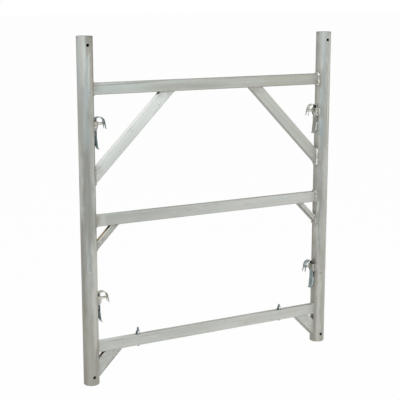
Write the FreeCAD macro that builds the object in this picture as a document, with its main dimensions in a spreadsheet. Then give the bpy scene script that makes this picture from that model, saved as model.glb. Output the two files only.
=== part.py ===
import FreeCAD
import Part
import Sketcher
import os

# Welded aluminium shoring frame: two round legs, three rungs, knee braces and four brace locks.
# Z is up from the floor, X runs along the rungs, the origin is on the floor midway between the legs.

SIZES = (
    # Legs
    ("leg_spacing", 1219.0),
    ("leg_height", 1524.0),
    ("leg_diameter", 70.0),
    ("leg_wall", 4.8),
    ("leg_rim_bevel", 1.6),
    ("pin_hole_diameter", 14.3),
    ("pin_hole_inset", 38.0),
    # Rungs: the top one hangs from the leg tops, the middle one is halfway between the others
    ("rung_height", 50.8),
    ("rung_depth", 25.4),
    ("rung_wall", 3.2),
    ("rung_corner", 3.0),
    ("top_rung_drop", 220.5),
    ("bottom_rung_level", 167.5),
    ("weld_gap", 0.25),
    # Knee braces and foot gussets, each reach measured along leg and rung from their corner
    ("upper_brace_reach", 382.0),
    ("middle_brace_reach", 104.0),
    ("middle_brace_flange", 25.4),
    ("middle_brace_wall", 3.2),
    ("foot_gusset_reach", 108.0),
    ("foot_gusset_flange", 56.6),
    ("foot_gusset_wall", 4.0),
    ("foot_gusset_lip", 2.2),
    ("channel_bend", 2.4),
    # Bolts through the bottom rung
    ("bolt_offset", 229.0),
    ("bolt_diameter", 9.5),
    ("bolt_clearance", 0.5),
    ("bolt_head_diameter", 19.0),
    ("bolt_head_height", 5.5),
    ("bolt_end_bevel", 0.8),
    ("left_bolt_standout", 31.0),
    ("right_bolt_standout", 25.0),
    ("washer_diameter", 24.0),
    ("washer_thickness", 2.0),
    ("nut_width", 17.0),
    ("nut_height", 13.0),
    ("nut_bevel_angle", 30.0),
    ("nut_thread_clearance", 0.2),
    # Brace locks: the stud axes from the leg tops and from the floor, then sizes measured from a stud axis
    ("upper_lock_drop", 369.5),
    ("lower_lock_level", 387.5),
    ("stud_diameter", 11.0),
    ("stud_root_diameter", 8.6),
    ("stud_length", 26.0),
    ("stud_bevel", 1.2),
    ("stud_clearance", 0.2),
    ("bracket_top", 11.5),
    ("bracket_web_bottom", 10.0),
    ("bracket_bottom", 26.5),
    ("bracket_web_wall", 4.0),
    ("bracket_cheek_wall", 3.2),
    ("bracket_bottom_land", 5.5),
    ("pin_diameter", 4.8),
    ("pin_head_diameter", 8.0),
    ("pin_head_height", 1.8),
    ("pin_bore_clearance", 0.2),
    ("pin_clearance", 0.3),
    ("pin_spacing", 13.0),
    ("pin_leg_gap", 0.5),
    # Gravity latch, one formed strip: a channel at the tail, plain strap over the stud
    ("latch_width", 28.0),
    ("latch_wall", 2.5),
    ("latch_flange", 9.2),
    ("latch_travel", 40.0),
    ("latch_clearance", 0.6),
    ("ear_rise", 8.0),
    ("hook_rise", 20.6),
    ("hook_heel_radius", 5.0),
    ("hook_heel_turn", 60.0),
    ("hook_crown_radius", 22.4),
    ("claw_lean", 10.0),
    ("claw_web_drop", 11.0),
    ("claw_notch_radius", 7.0),
    ("prong_drop", 23.0),
    ("prong_tip_width", 5.5),
    ("prong_tip_wall", 1.6),
    ("latch_bend", 1.8),
    ("tail_shoulder", 2.5),
    ("tail_drop", 39.0),
    ("tail_set", 4.5),
    ("tab_radius", 12.0),
    ("tab_turn", 60.0),
    ("tab_narrowing", 2.5),
)


def make_sheet(doc):
    """Put every driving size in the sheet, under its own name."""
    sheet = doc.addObject("Spreadsheet::Sheet", "sizes")
    for row, (name, value) in enumerate(SIZES, start=1):
        sheet.set("A%d" % row, name)
        sheet.set("B%d" % row, str(value))
        sheet.setAlias("B%d" % row, name)
    doc.recompute()
    return sheet


def sized(text):
    """Write a formula of size names as an expression on the sheet."""
    for name in sorted((size[0] for size in SIZES), key=len, reverse=True):
        text = text.replace("<%s>" % name, "sizes.%s" % name)
    return text


def value_of(item, text):
    """Number that a formula of sizes gives now."""
    result = item.evalExpression(sized(text))
    return float(getattr(result, "Value", result))


def new_body(doc, label, place=(), half_turn=False):
    """Start a sub-part with its own label and placement."""
    body = doc.addObject("PartDesign::Body", label)
    body.Label = label
    if half_turn:
        body.Placement.Rotation = FreeCAD.Rotation(FreeCAD.Vector(0, 0, 1), 180)
    for axis, formula in place:
        body.setExpression("Placement.Base." + axis, sized(formula))
    return body


def new_sketch(body, plane, turn=0.0, raised="0"):
    """Sketch on an origin plane of the sub-part, turned about the plane's second axis or raised off it."""
    sketch = body.newObject("Sketcher::SketchObject", body.Label + "_outline")
    support = [item for item in body.Origin.OriginFeatures if item.Role == plane][0]
    sketch.AttachmentSupport = [(support, "")]
    sketch.MapMode = "FlatFace"
    turned = FreeCAD.Rotation(FreeCAD.Vector(0, 1, 0), turn)
    sketch.AttachmentOffset = FreeCAD.Placement(FreeCAD.Vector(), turned)
    if raised != "0":
        sketch.setExpression("AttachmentOffset.Base.z", sized(raised))
    return sketch


def locate(sketch, edge, end, axis, formula):
    """Hold one point of an edge at a distance from the sketch origin along an axis."""
    number = value_of(sketch, formula)
    index = sketch.addConstraint(Sketcher.Constraint("Distance" + axis, -1, 1, edge, end, number))
    sketch.setExpression("Constraints[%d]" % index, sized(formula))


def add_circle(sketch, across, along, diameter):
    """Circle with its centre and diameter given as formulas."""
    centre = FreeCAD.Vector(value_of(sketch, across), value_of(sketch, along), 0)
    normal = FreeCAD.Vector(0, 0, 1)
    edge = sketch.addGeometry(Part.Circle(centre, normal, value_of(sketch, diameter) / 2))
    index = sketch.addConstraint(Sketcher.Constraint("Diameter", edge, value_of(sketch, diameter)))
    sketch.setExpression("Constraints[%d]" % index, sized(diameter))
    locate(sketch, edge, 3, "X", across)
    locate(sketch, edge, 3, "Y", along)


def arc_between(first, last, radius, clockwise):
    """Shorter arc of a radius from one corner to the next."""
    chord = last.sub(first)
    half = chord.Length / 2
    side = FreeCAD.Vector(-chord.y, chord.x, 0).normalize()
    if clockwise:
        side = side.negative()
    middle = first.add(last).multiply(0.5)
    centre = middle.add(side.multiply((radius * radius - half * half) ** 0.5))
    outward = middle.sub(centre).normalize()
    return Part.Arc(first, centre.add(outward.multiply(radius)), last)


def add_profile(sketch, corners):
    """Closed profile: each corner is two formulas, and a third gives the radius of the arc that follows.

    A minus sign before the radius makes the arc turn clockwise.
    """
    points = [FreeCAD.Vector(value_of(sketch, item[0]), value_of(sketch, item[1]), 0) for item in corners]
    edges = []
    ends = []
    for number, item in enumerate(corners):
        first = points[number]
        last = points[(number + 1) % len(points)]
        if len(item) == 2:
            edges.append(sketch.addGeometry(Part.LineSegment(first, last)))
            ends.append((1, 2))
            continue
        clockwise = item[2].startswith("-")
        radius = item[2].lstrip("-")
        edge = sketch.addGeometry(arc_between(first, last, value_of(sketch, radius), clockwise))
        edges.append(edge)
        ends.append((2, 1) if clockwise else (1, 2))
        index = sketch.addConstraint(Sketcher.Constraint("Radius", edge, value_of(sketch, radius)))
        sketch.setExpression("Constraints[%d]" % index, sized(radius))
    for number, edge in enumerate(edges):
        following = (number + 1) % len(edges)
        joint = Sketcher.Constraint("Coincident", edge, ends[number][1], edges[following], ends[following][0])
        sketch.addConstraint(joint)
    for number, edge in enumerate(edges):
        locate(sketch, edge, ends[number][0], "X", corners[number][0])
        locate(sketch, edge, ends[number][0], "Y", corners[number][1])


def add_polygon(sketch, formulas):
    """Closed profile of straight edges."""
    add_profile(sketch, [tuple(item) for item in formulas])


def add_round_box(sketch, low, high, half, radius):
    """Rectangle with round corners between two formulas across, and half a width each way along."""
    add_profile(
        sketch,
        [
            ("%s + %s" % (low, radius), "-(%s)" % half),
            ("%s - %s" % (high, radius), "-(%s)" % half, radius),
            (high, "%s - (%s)" % (radius, half)),
            (high, "%s - %s" % (half, radius), radius),
            ("%s - %s" % (high, radius), half),
            ("%s + %s" % (low, radius), half, radius),
            (low, "%s - %s" % (half, radius)),
            (low, "%s - (%s)" % (radius, half), radius),
        ],
    )


def add_pad(body, sketch, length):
    """Pad to both sides of the sketch."""
    body.Document.recompute()
    pad = body.newObject("PartDesign::Pad", body.Label + "_pad")
    pad.Profile = sketch
    pad.SideType = "Symmetric"
    pad.setExpression("Length", sized(length))
    body.Document.recompute()
    return pad


def add_pad_up(body, sketch, length):
    """Pad to the upper side of the sketch."""
    pad = add_pad(body, sketch, length)
    pad.SideType = "One side"
    body.Document.recompute()
    return pad


def add_cut(body, sketch, length=None):
    """Cut to both sides of the sketch, right through where no length is given."""
    body.Document.recompute()
    cut = body.newObject("PartDesign::Pocket", body.Label + "_cut")
    cut.Profile = sketch
    cut.SideType = "Symmetric"
    if length is None:
        cut.Type = "ThroughAll"
    else:
        cut.setExpression("Length", sized(length))
    body.Document.recompute()
    return cut


def add_cut_up(body, sketch, length):
    """Cut to the upper side of the sketch."""
    cut = add_cut(body, sketch, length)
    cut.SideType = "One side"
    cut.Reversed = True
    body.Document.recompute()
    return cut


# Two points closer than this are one point
TOUCHING = 0.001


def add_rounding(body, radius, lines):
    """Round the edges of the sub-part that run from point to point along lines."""
    names = []
    for number, edge in enumerate(body.Shape.Edges, start=1):
        ends = [body.Placement.inverse().multVec(vertex.Point) for vertex in edge.Vertexes]
        for line in lines:
            if all(any(end.isEqual(point, TOUCHING) for point in line) for end in ends):
                names.append("Edge%d" % number)
    base = body.Tip
    rounding = body.newObject("PartDesign::Fillet", body.Label + "_rounding")
    rounding.Base = (base, names)
    rounding.setExpression("Radius", sized(radius))
    body.Document.recompute()
    return rounding


def add_turning(body, sketch, axis):
    """Turn a profile right round one of the sub-part's axes."""
    body.Document.recompute()
    turning = body.newObject("PartDesign::Revolution", body.Label + "_turning")
    turning.Profile = sketch
    support = [item for item in body.Origin.OriginFeatures if item.Role == axis][0]
    turning.ReferenceAxis = (support, [""])
    turning.Angle = 360.0
    body.Document.recompute()
    return turning


def add_groove(body, sketch, axis):
    """Turn a cut right round one of the sub-part's axes."""
    body.Document.recompute()
    groove = body.newObject("PartDesign::Groove", body.Label + "_groove")
    groove.Profile = sketch
    support = [item for item in body.Origin.OriginFeatures if item.Role == axis][0]
    groove.ReferenceAxis = (support, [""])
    groove.Angle = 360.0
    body.Document.recompute()
    return groove


LEG_RADIUS = "<leg_diameter> / 2"
COPE = "<leg_diameter> + 2 * <weld_gap>"
FAR = "<leg_spacing>"
TOP_RUNG = "(<leg_height> - <top_rung_drop>)"
BOTTOM_RUNG = "<bottom_rung_level>"
MIDDLE_RUNG = "(%s + %s) / 2" % (TOP_RUNG, BOTTOM_RUNG)

# Each brace and gusset reaches as far along the leg as along the rung
BRACE_ANGLE = 45.0

# Sides of the frame: name, where the leg axis is, and whether the sub-part is turned to face inward
SIDES = (
    ("left", "-<leg_spacing> / 2", False),
    ("right", "<leg_spacing> / 2", True),
)


def inward(side, distance):
    """Formula of the place at a distance inward from a leg axis."""
    return "%s %s %s" % (side[1], "-" if side[2] else "+", distance)


def polar(centre, radius, angle):
    """Formulas of a point at a radius and angle from a centre."""
    across = "%s + (%s) * cos(%s)" % (centre[0], radius, angle)
    along = "%s + (%s) * sin(%s)" % (centre[1], radius, angle)
    return (across, along)


def leg(doc, side):
    """Round tube with bevelled rims and a pin hole through each end."""
    name, across, turned = side
    body = new_body(doc, name + "_leg", [("x", across)], turned)
    wall = new_sketch(body, "XZ_Plane")
    inner = "<leg_diameter> / 2 - <leg_wall>"
    add_polygon(
        wall,
        [
            (inner, "0"),
            (LEG_RADIUS + " - <leg_rim_bevel>", "0"),
            (LEG_RADIUS, "<leg_rim_bevel>"),
            (LEG_RADIUS, "<leg_height> - <leg_rim_bevel>"),
            (LEG_RADIUS + " - <leg_rim_bevel>", "<leg_height>"),
            (inner, "<leg_height>"),
        ],
    )
    add_turning(body, wall, "Z_Axis")
    holes = new_sketch(body, "XZ_Plane")
    add_circle(holes, "0", "<pin_hole_inset>", "<pin_hole_diameter>")
    add_circle(holes, "0", "<leg_height> - <pin_hole_inset>", "<pin_hole_diameter>")
    add_cut(body, holes)
    return body


def rung(doc, name, level, bolted=False):
    """Rectangular tube, both ends coped to the legs."""
    body = new_body(doc, name + "_rung", [("z", level)])
    section = new_sketch(body, "YZ_Plane")
    add_round_box(section, "-<rung_depth> / 2", "<rung_depth> / 2", "<rung_height> / 2", "<rung_corner>")
    add_pad(body, section, "<leg_spacing>")
    hollow = new_sketch(body, "YZ_Plane")
    inside = "<rung_depth> / 2 - <rung_wall>"
    add_polygon(
        hollow,
        [
            ("-(%s)" % inside, "<rung_wall> - <rung_height> / 2"),
            (inside, "<rung_wall> - <rung_height> / 2"),
            (inside, "<rung_height> / 2 - <rung_wall>"),
            ("-(%s)" % inside, "<rung_height> / 2 - <rung_wall>"),
        ],
    )
    add_cut(body, hollow)
    ends = new_sketch(body, "XY_Plane")
    add_circle(ends, "-<leg_spacing> / 2", "0", COPE)
    add_circle(ends, "<leg_spacing> / 2", "0", COPE)
    add_cut(body, ends)
    if bolted:
        holes = new_sketch(body, "XY_Plane")
        hole = "<bolt_diameter> + 2 * <bolt_clearance>"
        add_circle(holes, "<bolt_offset> - <leg_spacing> / 2", "0", hole)
        add_circle(holes, "<leg_spacing> / 2 - <bolt_offset>", "0", hole)
        add_cut(body, holes)
    return body


def trim_corner(body):
    """Cut a sloping sub-part back to the underside of the rung and to the round of the leg."""
    corner = new_sketch(body, "XZ_Plane")
    add_polygon(
        corner,
        [
            ("-" + FAR, "-" + FAR),
            ("0", "-" + FAR),
            ("0", "-<weld_gap>"),
            (FAR, "-<weld_gap>"),
            (FAR, FAR),
            ("-" + FAR, FAR),
        ],
    )
    add_cut(body, corner)
    cope = new_sketch(body, "XY_Plane")
    add_circle(cope, "0", "0", COPE)
    add_cut(body, cope)


def slope_edge(reach):
    """Distance of a sloping sub-part's outer edge from the corner of leg axis and rung underside."""
    return "(%s + %s) * cos(%s)" % (LEG_RADIUS, reach, BRACE_ANGLE)


def corner_body(doc, label, side, level):
    """Sub-part whose origin is where the leg axis meets the underside of a rung."""
    name, across, turned = side
    place = [("x", across), ("z", level + " - <rung_height> / 2")]
    return new_body(doc, "%s_%s" % (name, label), place, turned)


def upper_brace(doc, side):
    """Knee brace cut from the same tube as the rungs."""
    body = corner_body(doc, "upper_brace", side, TOP_RUNG)
    outer = slope_edge("<upper_brace_reach>")
    section = new_sketch(body, "XY_Plane", BRACE_ANGLE)
    add_round_box(section, outer + " - <rung_height>", outer, "<rung_depth> / 2", "<rung_corner>")
    add_pad(body, section, "2 * <leg_spacing>")
    hollow = new_sketch(body, "XY_Plane", BRACE_ANGLE)
    inside = "<rung_depth> / 2 - <rung_wall>"
    add_polygon(
        hollow,
        [
            (outer + " - <rung_height> + <rung_wall>", "-(%s)" % inside),
            (outer + " - <rung_wall>", "-(%s)" % inside),
            (outer + " - <rung_wall>", inside),
            (outer + " - <rung_height> + <rung_wall>", inside),
        ],
    )
    add_cut(body, hollow)
    trim_corner(body)
    return body


def middle_brace(doc, side):
    """Small knee brace: a bent channel with its web below and its flanges up to the corner."""
    body = corner_body(doc, "middle_brace", side, MIDDLE_RUNG)
    outer = slope_edge("<middle_brace_reach>")
    half = "<rung_depth> / 2"
    top = outer + " - <middle_brace_flange>"
    section = new_sketch(body, "XY_Plane", BRACE_ANGLE)
    add_profile(
        section,
        [
            (top, "-" + half),
            (outer + " - <channel_bend>", "-" + half, "<channel_bend>"),
            (outer, "<channel_bend> - " + half),
            (outer, half + " - <channel_bend>", "<channel_bend>"),
            (outer + " - <channel_bend>", half),
            (top, half),
            (top, half + " - <middle_brace_wall>"),
            (outer + " - <middle_brace_wall>", half + " - <middle_brace_wall>"),
            (outer + " - <middle_brace_wall>", "<middle_brace_wall> - " + half),
            (top, "<middle_brace_wall> - " + half),
        ],
    )
    add_pad(body, section, "2 * <leg_spacing>")
    trim_corner(body)
    return body


def foot_gusset(doc, side):
    """Deep channel under the bottom rung, its web a little wider than its flanges."""
    body = corner_body(doc, "foot_gusset", side, BOTTOM_RUNG)
    outer = slope_edge("<foot_gusset_reach>")
    half = "<rung_depth> / 2"
    wide = half + " + <foot_gusset_lip>"
    top = outer + " - <foot_gusset_flange>"
    inner = outer + " - <foot_gusset_wall>"
    section = new_sketch(body, "XY_Plane", BRACE_ANGLE)
    add_polygon(
        section,
        [
            (top, "-" + half),
            (inner, "-" + half),
            (inner, "-(%s)" % wide),
            (outer, "-(%s)" % wide),
            (outer, wide),
            (inner, wide),
            (inner, half),
            (top, half),
            (top, half + " - <foot_gusset_wall>"),
            (inner, half + " - <foot_gusset_wall>"),
            (inner, "<foot_gusset_wall> - " + half),
            (top, "<foot_gusset_wall> - " + half),
        ],
    )
    add_pad(body, section, "2 * <leg_spacing>")
    trim_corner(body)
    return body


def bolt_place(side, height):
    """Place on the axis of a rung bolt, at a height over the middle of the bottom rung."""
    return [("x", inward(side, "<bolt_offset>")), ("z", BOTTOM_RUNG + " + " + height)]


def rung_bolt(doc, side, standout):
    """Round headed bolt, head under the rung, end above it."""
    body = new_body(doc, side[0] + "_bolt", bolt_place(side, "0"), side[2])
    profile = new_sketch(body, "XZ_Plane")
    under = "-<rung_height> / 2"
    end = "<rung_height> / 2 + " + standout
    add_profile(
        profile,
        [
            ("0", under + " - <bolt_head_height>"),
            ("<bolt_head_diameter> / 4", under + " - <bolt_head_height>", "<bolt_head_diameter> / 2"),
            ("<bolt_head_diameter> / 2", under + " - <bolt_head_height> / 4"),
            ("<bolt_head_diameter> / 2", under),
            ("<bolt_diameter> / 2", under),
            ("<bolt_diameter> / 2", end + " - <bolt_end_bevel>"),
            ("<bolt_diameter> / 2 - <bolt_end_bevel>", end),
            ("0", end),
        ],
    )
    add_turning(body, profile, "Z_Axis")
    return body


def washer(doc, side):
    """Flat washer on top of the bottom rung."""
    body = new_body(doc, side[0] + "_washer", bolt_place(side, "<rung_height> / 2"), side[2])
    ring = new_sketch(body, "XY_Plane")
    add_circle(ring, "0", "0", "<washer_diameter>")
    add_circle(ring, "0", "0", "<bolt_diameter> + 2 * <bolt_clearance>")
    add_pad_up(body, ring, "<washer_thickness>")
    return body


def nut(doc, side):
    """Tall hexagon nut with bevelled corners."""
    place = bolt_place(side, "<rung_height> / 2 + <washer_thickness>")
    body = new_body(doc, side[0] + "_nut", place, side[2])
    hexagon = new_sketch(body, "XY_Plane")
    add_polygon(hexagon, [polar(("0", "0"), "<nut_width> / 2 / cos(30)", turn) for turn in range(0, 360, 60)])
    add_circle(hexagon, "0", "0", "<bolt_diameter> + 2 * <nut_thread_clearance>")
    add_pad_up(body, hexagon, "<nut_height>")
    rim = "<nut_width> / 2"
    beyond = "<nut_width>"
    fall = "<nut_width> / 2 * tan(<nut_bevel_angle>)"
    bevel = new_sketch(body, "XZ_Plane")
    add_polygon(bevel, [(rim, "<nut_height>"), (beyond, "<nut_height>"), (beyond, "<nut_height> - " + fall)])
    add_polygon(bevel, [(rim, "0"), (beyond, fall), (beyond, "0")])
    add_groove(body, bevel, "Z_Axis")
    return body


# Positions in a brace lock, from the leg axis inward and from the stud axis up
PIN_ACROSS = "(<leg_diameter> / 2 + <pin_leg_gap> + <pin_diameter> / 2)"
STRAP_BACK = "(<leg_diameter> / 2 + <pin_leg_gap> + <pin_diameter> + <pin_clearance>)"
STRAP_FACE = "(%s + <latch_wall>)" % STRAP_BACK
FLANGE_BACK = "(%s - <latch_flange>)" % STRAP_FACE
WEB_INSIDE = "(%s + <latch_clearance>)" % STRAP_FACE
WEB_OUTSIDE = "(%s + <bracket_web_wall>)" % WEB_INSIDE
STUD_END = "(%s + <stud_length>)" % WEB_OUTSIDE
CHEEK_INSIDE = "(<latch_width> / 2 + <latch_clearance>)"
CHEEK_OUTSIDE = "(%s + <bracket_cheek_wall>)" % CHEEK_INSIDE

# Brace locks: name of the level, height of the stud axis
LEVELS = (("upper", "<leg_height> - <upper_lock_drop>"), ("lower", "<lower_lock_level>"))


def lock_body(doc, label, level, side):
    """Sub-part of a brace lock, with its origin where the stud axis meets the leg axis."""
    name = "%s_%s_%s" % (level[0], side[0], label)
    return new_body(doc, name, [("x", side[1]), ("z", level[1])], side[2])


def bracket(doc, level, side):
    """Two cheeks joined by a short web that holds the stud, coped to the leg."""
    body = lock_body(doc, "bracket", level, side)
    outline = new_sketch(body, "XZ_Plane")
    add_polygon(
        outline,
        [
            ("0", "-<bracket_bottom>"),
            (LEG_RADIUS + " + <bracket_bottom_land>", "-<bracket_bottom>"),
            (WEB_OUTSIDE, "-<bracket_web_bottom>"),
            (WEB_OUTSIDE, "<bracket_top>"),
            ("0", "<bracket_top>"),
        ],
    )
    add_pad(body, outline, "2 * " + CHEEK_OUTSIDE)
    tunnel = new_sketch(body, "XZ_Plane")
    add_polygon(
        tunnel,
        [
            ("-" + FAR, "-" + FAR),
            (FAR, "-" + FAR),
            (FAR, "-<bracket_web_bottom>"),
            (WEB_INSIDE, "-<bracket_web_bottom>"),
            (WEB_INSIDE, FAR),
            ("-" + FAR, FAR),
        ],
    )
    add_cut(body, tunnel, "2 * " + CHEEK_INSIDE)
    cope = new_sketch(body, "XY_Plane")
    add_circle(cope, "0", "0", COPE)
    add_cut(body, cope)
    holes = new_sketch(body, "XZ_Plane")
    for height in ("0", "-<pin_spacing>"):
        add_circle(holes, PIN_ACROSS, height, "<pin_diameter> + 2 * <pin_bore_clearance>")
    add_cut(body, holes)
    seat = new_sketch(body, "YZ_Plane")
    add_circle(seat, "0", "0", "<stud_root_diameter> + 2 * <stud_clearance>")
    add_cut(body, seat)
    return body


def stud(doc, level, side):
    """Round brace stud with a bevelled end, its thinner root set in the bracket web."""
    body = lock_body(doc, "stud", level, side)
    profile = new_sketch(body, "XZ_Plane")
    add_polygon(
        profile,
        [
            (WEB_INSIDE, "0"),
            (STUD_END, "0"),
            (STUD_END, "<stud_diameter> / 2 - <stud_bevel>"),
            (STUD_END + " - <stud_bevel>", "<stud_diameter> / 2"),
            (WEB_OUTSIDE, "<stud_diameter> / 2"),
            (WEB_OUTSIDE, "<stud_root_diameter> / 2"),
            (WEB_INSIDE, "<stud_root_diameter> / 2"),
        ],
    )
    add_turning(body, profile, "X_Axis")
    return body


def cross_pin(doc, label, level, side, drop):
    """Headed pin across both cheeks of a bracket."""
    name = "%s_%s_%s" % (level[0], side[0], label)
    body = new_body(doc, name, [("x", inward(side, PIN_ACROSS)), ("z", level[1] + " - " + drop)], side[2])
    profile = new_sketch(body, "YZ_Plane")
    head = CHEEK_OUTSIDE + " + <pin_head_height>"
    shank = "<pin_diameter> / 2"
    rim = "<pin_head_diameter> / 2"
    add_polygon(
        profile,
        [
            ("-(%s)" % head, "0"),
            (head, "0"),
            (head, "<pin_head_diameter> / 4"),
            (CHEEK_OUTSIDE + " + <pin_head_height> / 3", rim),
            (CHEEK_OUTSIDE, rim),
            (CHEEK_OUTSIDE, shank),
            ("-" + CHEEK_OUTSIDE, shank),
            ("-" + CHEEK_OUTSIDE, rim),
            ("-(%s + <pin_head_height> / 3)" % CHEEK_OUTSIDE, rim),
            ("-(%s)" % head, "<pin_head_diameter> / 4"),
        ],
    )
    add_turning(body, profile, "Y_Axis")
    return body


def along_claw(start, drop_to):
    """Formulas of the point on a claw edge at a level under the stud axis."""
    across = "%s + (%s + %s) * tan(<claw_lean>)" % (start[0], start[1], drop_to)
    return (across, "-(%s)" % drop_to)


# Levels in a latch at rest, down from the stud axis
RECESS_BOTTOM = "(<pin_spacing> + <pin_diameter> / 2 + <pin_clearance> + <latch_travel>)"
TAIL_BEND = "(%s + <tail_shoulder>)" % RECESS_BOTTOM
TAIL_END = "(%s + <tail_drop>)" % TAIL_BEND
HEEL = (STRAP_FACE + " + <hook_heel_radius>", "<hook_rise>")
HEEL_END = "(180 - <hook_heel_turn>)"
CROWN = polar(HEEL, "<hook_heel_radius> - <hook_crown_radius>", HEEL_END)


def hook_line(depth):
    """Heel start, heel end and crown end of the hook, at a depth out from its inner face."""
    start = (STRAP_FACE + " - (%s)" % depth, "<hook_rise>")
    middle = polar(HEEL, "<hook_heel_radius> + " + depth, HEEL_END)
    end = polar(CROWN, "<hook_crown_radius> + " + depth, "<claw_lean>")
    return start, middle, end


def latch_outline(body):
    """Side view of the whole latch: tail, strap behind the bracket web, hook over the stud, claw and ears."""
    inner = hook_line("0")
    outer = hook_line("<latch_wall>")
    tip = along_claw(outer[2], "<prong_drop>")
    outline = new_sketch(body, "XZ_Plane")
    add_profile(
        outline,
        [
            (FLANGE_BACK, "-" + TAIL_BEND),
            (FLANGE_BACK + " + <tail_set>", "-" + TAIL_END),
            (STRAP_FACE + " + <tail_set>", "-" + TAIL_END),
            (STRAP_FACE, "-" + TAIL_BEND),
            inner[0] + ("-<hook_heel_radius>",),
            inner[1] + ("-<hook_crown_radius>",),
            inner[2],
            along_claw(inner[2], "<claw_web_drop>"),
            (tip[0] + " - <prong_tip_wall>", tip[1]),
            tip,
            outer[2] + ("<hook_crown_radius> + <latch_wall>",),
            outer[1] + ("<hook_heel_radius> + <latch_wall>",),
            outer[0],
            (STRAP_BACK, "<ear_rise> + <latch_flange> - <latch_wall>"),
            (FLANGE_BACK, "<ear_rise>"),
        ],
    )
    return outline


def latch_hollow(body):
    """Space between the flanges, on the leg side of the strap."""
    below = "(%s + <latch_flange>)" % TAIL_END
    hollow = new_sketch(body, "XZ_Plane")
    add_polygon(
        hollow,
        [
            ("-" + FAR, "-" + below),
            (STRAP_BACK + " + <tail_set>", "-" + below),
            (STRAP_BACK + " + <tail_set>", "-" + TAIL_END),
            (STRAP_BACK, "-" + TAIL_BEND),
            (STRAP_BACK, "<hook_rise>"),
            ("-" + FAR, "<hook_rise>"),
        ],
    )
    return hollow


def latch_recess(body):
    """Cut in the leg side of both flanges for the cross pins, as long as the travel."""
    shoulder = "<pin_diameter> / 2 + <pin_clearance>"
    recess = new_sketch(body, "XZ_Plane")
    add_polygon(
        recess,
        [
            ("-" + FAR, "-" + RECESS_BOTTOM),
            (STRAP_BACK, "-" + RECESS_BOTTOM),
            (STRAP_BACK, shoulder),
            ("-" + FAR, shoulder),
        ],
    )
    return recess


def latch_tab(body):
    """Side view of the finger tab that curls inward at the end of the tail."""
    face = STRAP_FACE + " + <tail_set>"
    centre = (face + " + <tab_radius>", "-" + TAIL_END)
    end = "(180 + <tab_turn>)"
    tab = new_sketch(body, "XZ_Plane")
    add_profile(
        tab,
        [
            (face, "-" + TAIL_END),
            (face + " - <latch_wall>", "-" + TAIL_END, "<tab_radius> + <latch_wall>"),
            polar(centre, "<tab_radius> + <latch_wall>", end),
            polar(centre, "<tab_radius>", end) + ("-<tab_radius>",),
        ],
    )
    return tab


def bend_lines(body):
    """Points along the two outer corners of the channel bend, from the tail to the end of the claw web."""
    inner = hook_line("0")
    corners = [
        (STRAP_FACE + " + <tail_set>", "-" + TAIL_END),
        (STRAP_FACE, "-" + TAIL_BEND),
        inner[0],
        inner[1],
        inner[2],
        along_claw(inner[2], "<claw_web_drop>"),
    ]
    half = value_of(body, "<latch_width> / 2")
    places = [(value_of(body, across), value_of(body, up)) for across, up in corners]
    return [[FreeCAD.Vector(across, edge, up) for across, up in places] for edge in (-half, half)]


def latch_notch(body):
    """Arched opening that splits the claw into two prongs and widens towards their tips."""
    gap = "(<latch_width> / 2 - <prong_tip_width>)"
    below = "-2 * <prong_drop>"
    notch = new_sketch(body, "YZ_Plane", 0.0, HEEL[0])
    add_profile(
        notch,
        [
            ("-" + gap, below),
            (gap, below),
            (gap, "-<prong_drop>"),
            ("<claw_notch_radius>", "-<claw_web_drop>", "<claw_notch_radius>"),
            ("0", "<claw_notch_radius> - <claw_web_drop>", "<claw_notch_radius>"),
            ("-<claw_notch_radius>", "-<claw_web_drop>"),
            ("-" + gap, "-<prong_drop>"),
        ],
    )
    return notch


def latch(doc, level, side):
    """Formed strip: channel tail with a finger tab, ears over the guide pin, hook, claw with two prongs."""
    body = lock_body(doc, "latch", level, side)
    add_pad(body, latch_outline(body), "<latch_width>")
    add_rounding(body, "<latch_bend>", bend_lines(body))
    add_cut(body, latch_hollow(body), "<latch_width> - 2 * <latch_wall>")
    add_cut(body, latch_recess(body))
    add_cut_up(body, latch_notch(body), FAR)
    add_pad(body, latch_tab(body), "<latch_width> - 2 * <tab_narrowing>")
    return body


def build(doc):
    """Make every sub-part of the frame."""
    bodies = []
    for side in SIDES:
        bodies.append(leg(doc, side))
    bodies.append(rung(doc, "top", TOP_RUNG))
    bodies.append(rung(doc, "middle", MIDDLE_RUNG))
    bodies.append(rung(doc, "bottom", BOTTOM_RUNG, True))
    for side in SIDES:
        bodies.append(upper_brace(doc, side))
        bodies.append(middle_brace(doc, side))
        bodies.append(foot_gusset(doc, side))
        bodies.append(rung_bolt(doc, side, "<%s_bolt_standout>" % side[0]))
        bodies.append(washer(doc, side))
        bodies.append(nut(doc, side))
        for level in LEVELS:
            bodies.append(bracket(doc, level, side))
            bodies.append(stud(doc, level, side))
            bodies.append(latch(doc, level, side))
            bodies.append(cross_pin(doc, "guide_pin", level, side, "0"))
            bodies.append(cross_pin(doc, "stop_pin", level, side, "<pin_spacing>"))
    return bodies


def write_parts(doc, bodies):
    """Check every sub-part, then write one file for each."""
    for item in doc.Objects:
        if "Invalid" in item.State or "Error" in item.State:
            raise RuntimeError("%s is not sound: %s" % (item.Label, item.State))
    os.makedirs("parts", exist_ok=True)
    for body in bodies:
        shape = body.Shape
        if shape.isNull() or not shape.isValid() or len(shape.Solids) != 1:
            raise RuntimeError("%s is not one sound solid" % body.Label)
        shape.exportStep("parts/%s.step" % body.Label)
        print(body.Label, round(shape.Volume, 1))


document = FreeCAD.newDocument("shoring_frame")
make_sheet(document)
sub_parts = build(document)
document.recompute()
write_parts(document, sub_parts)
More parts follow.
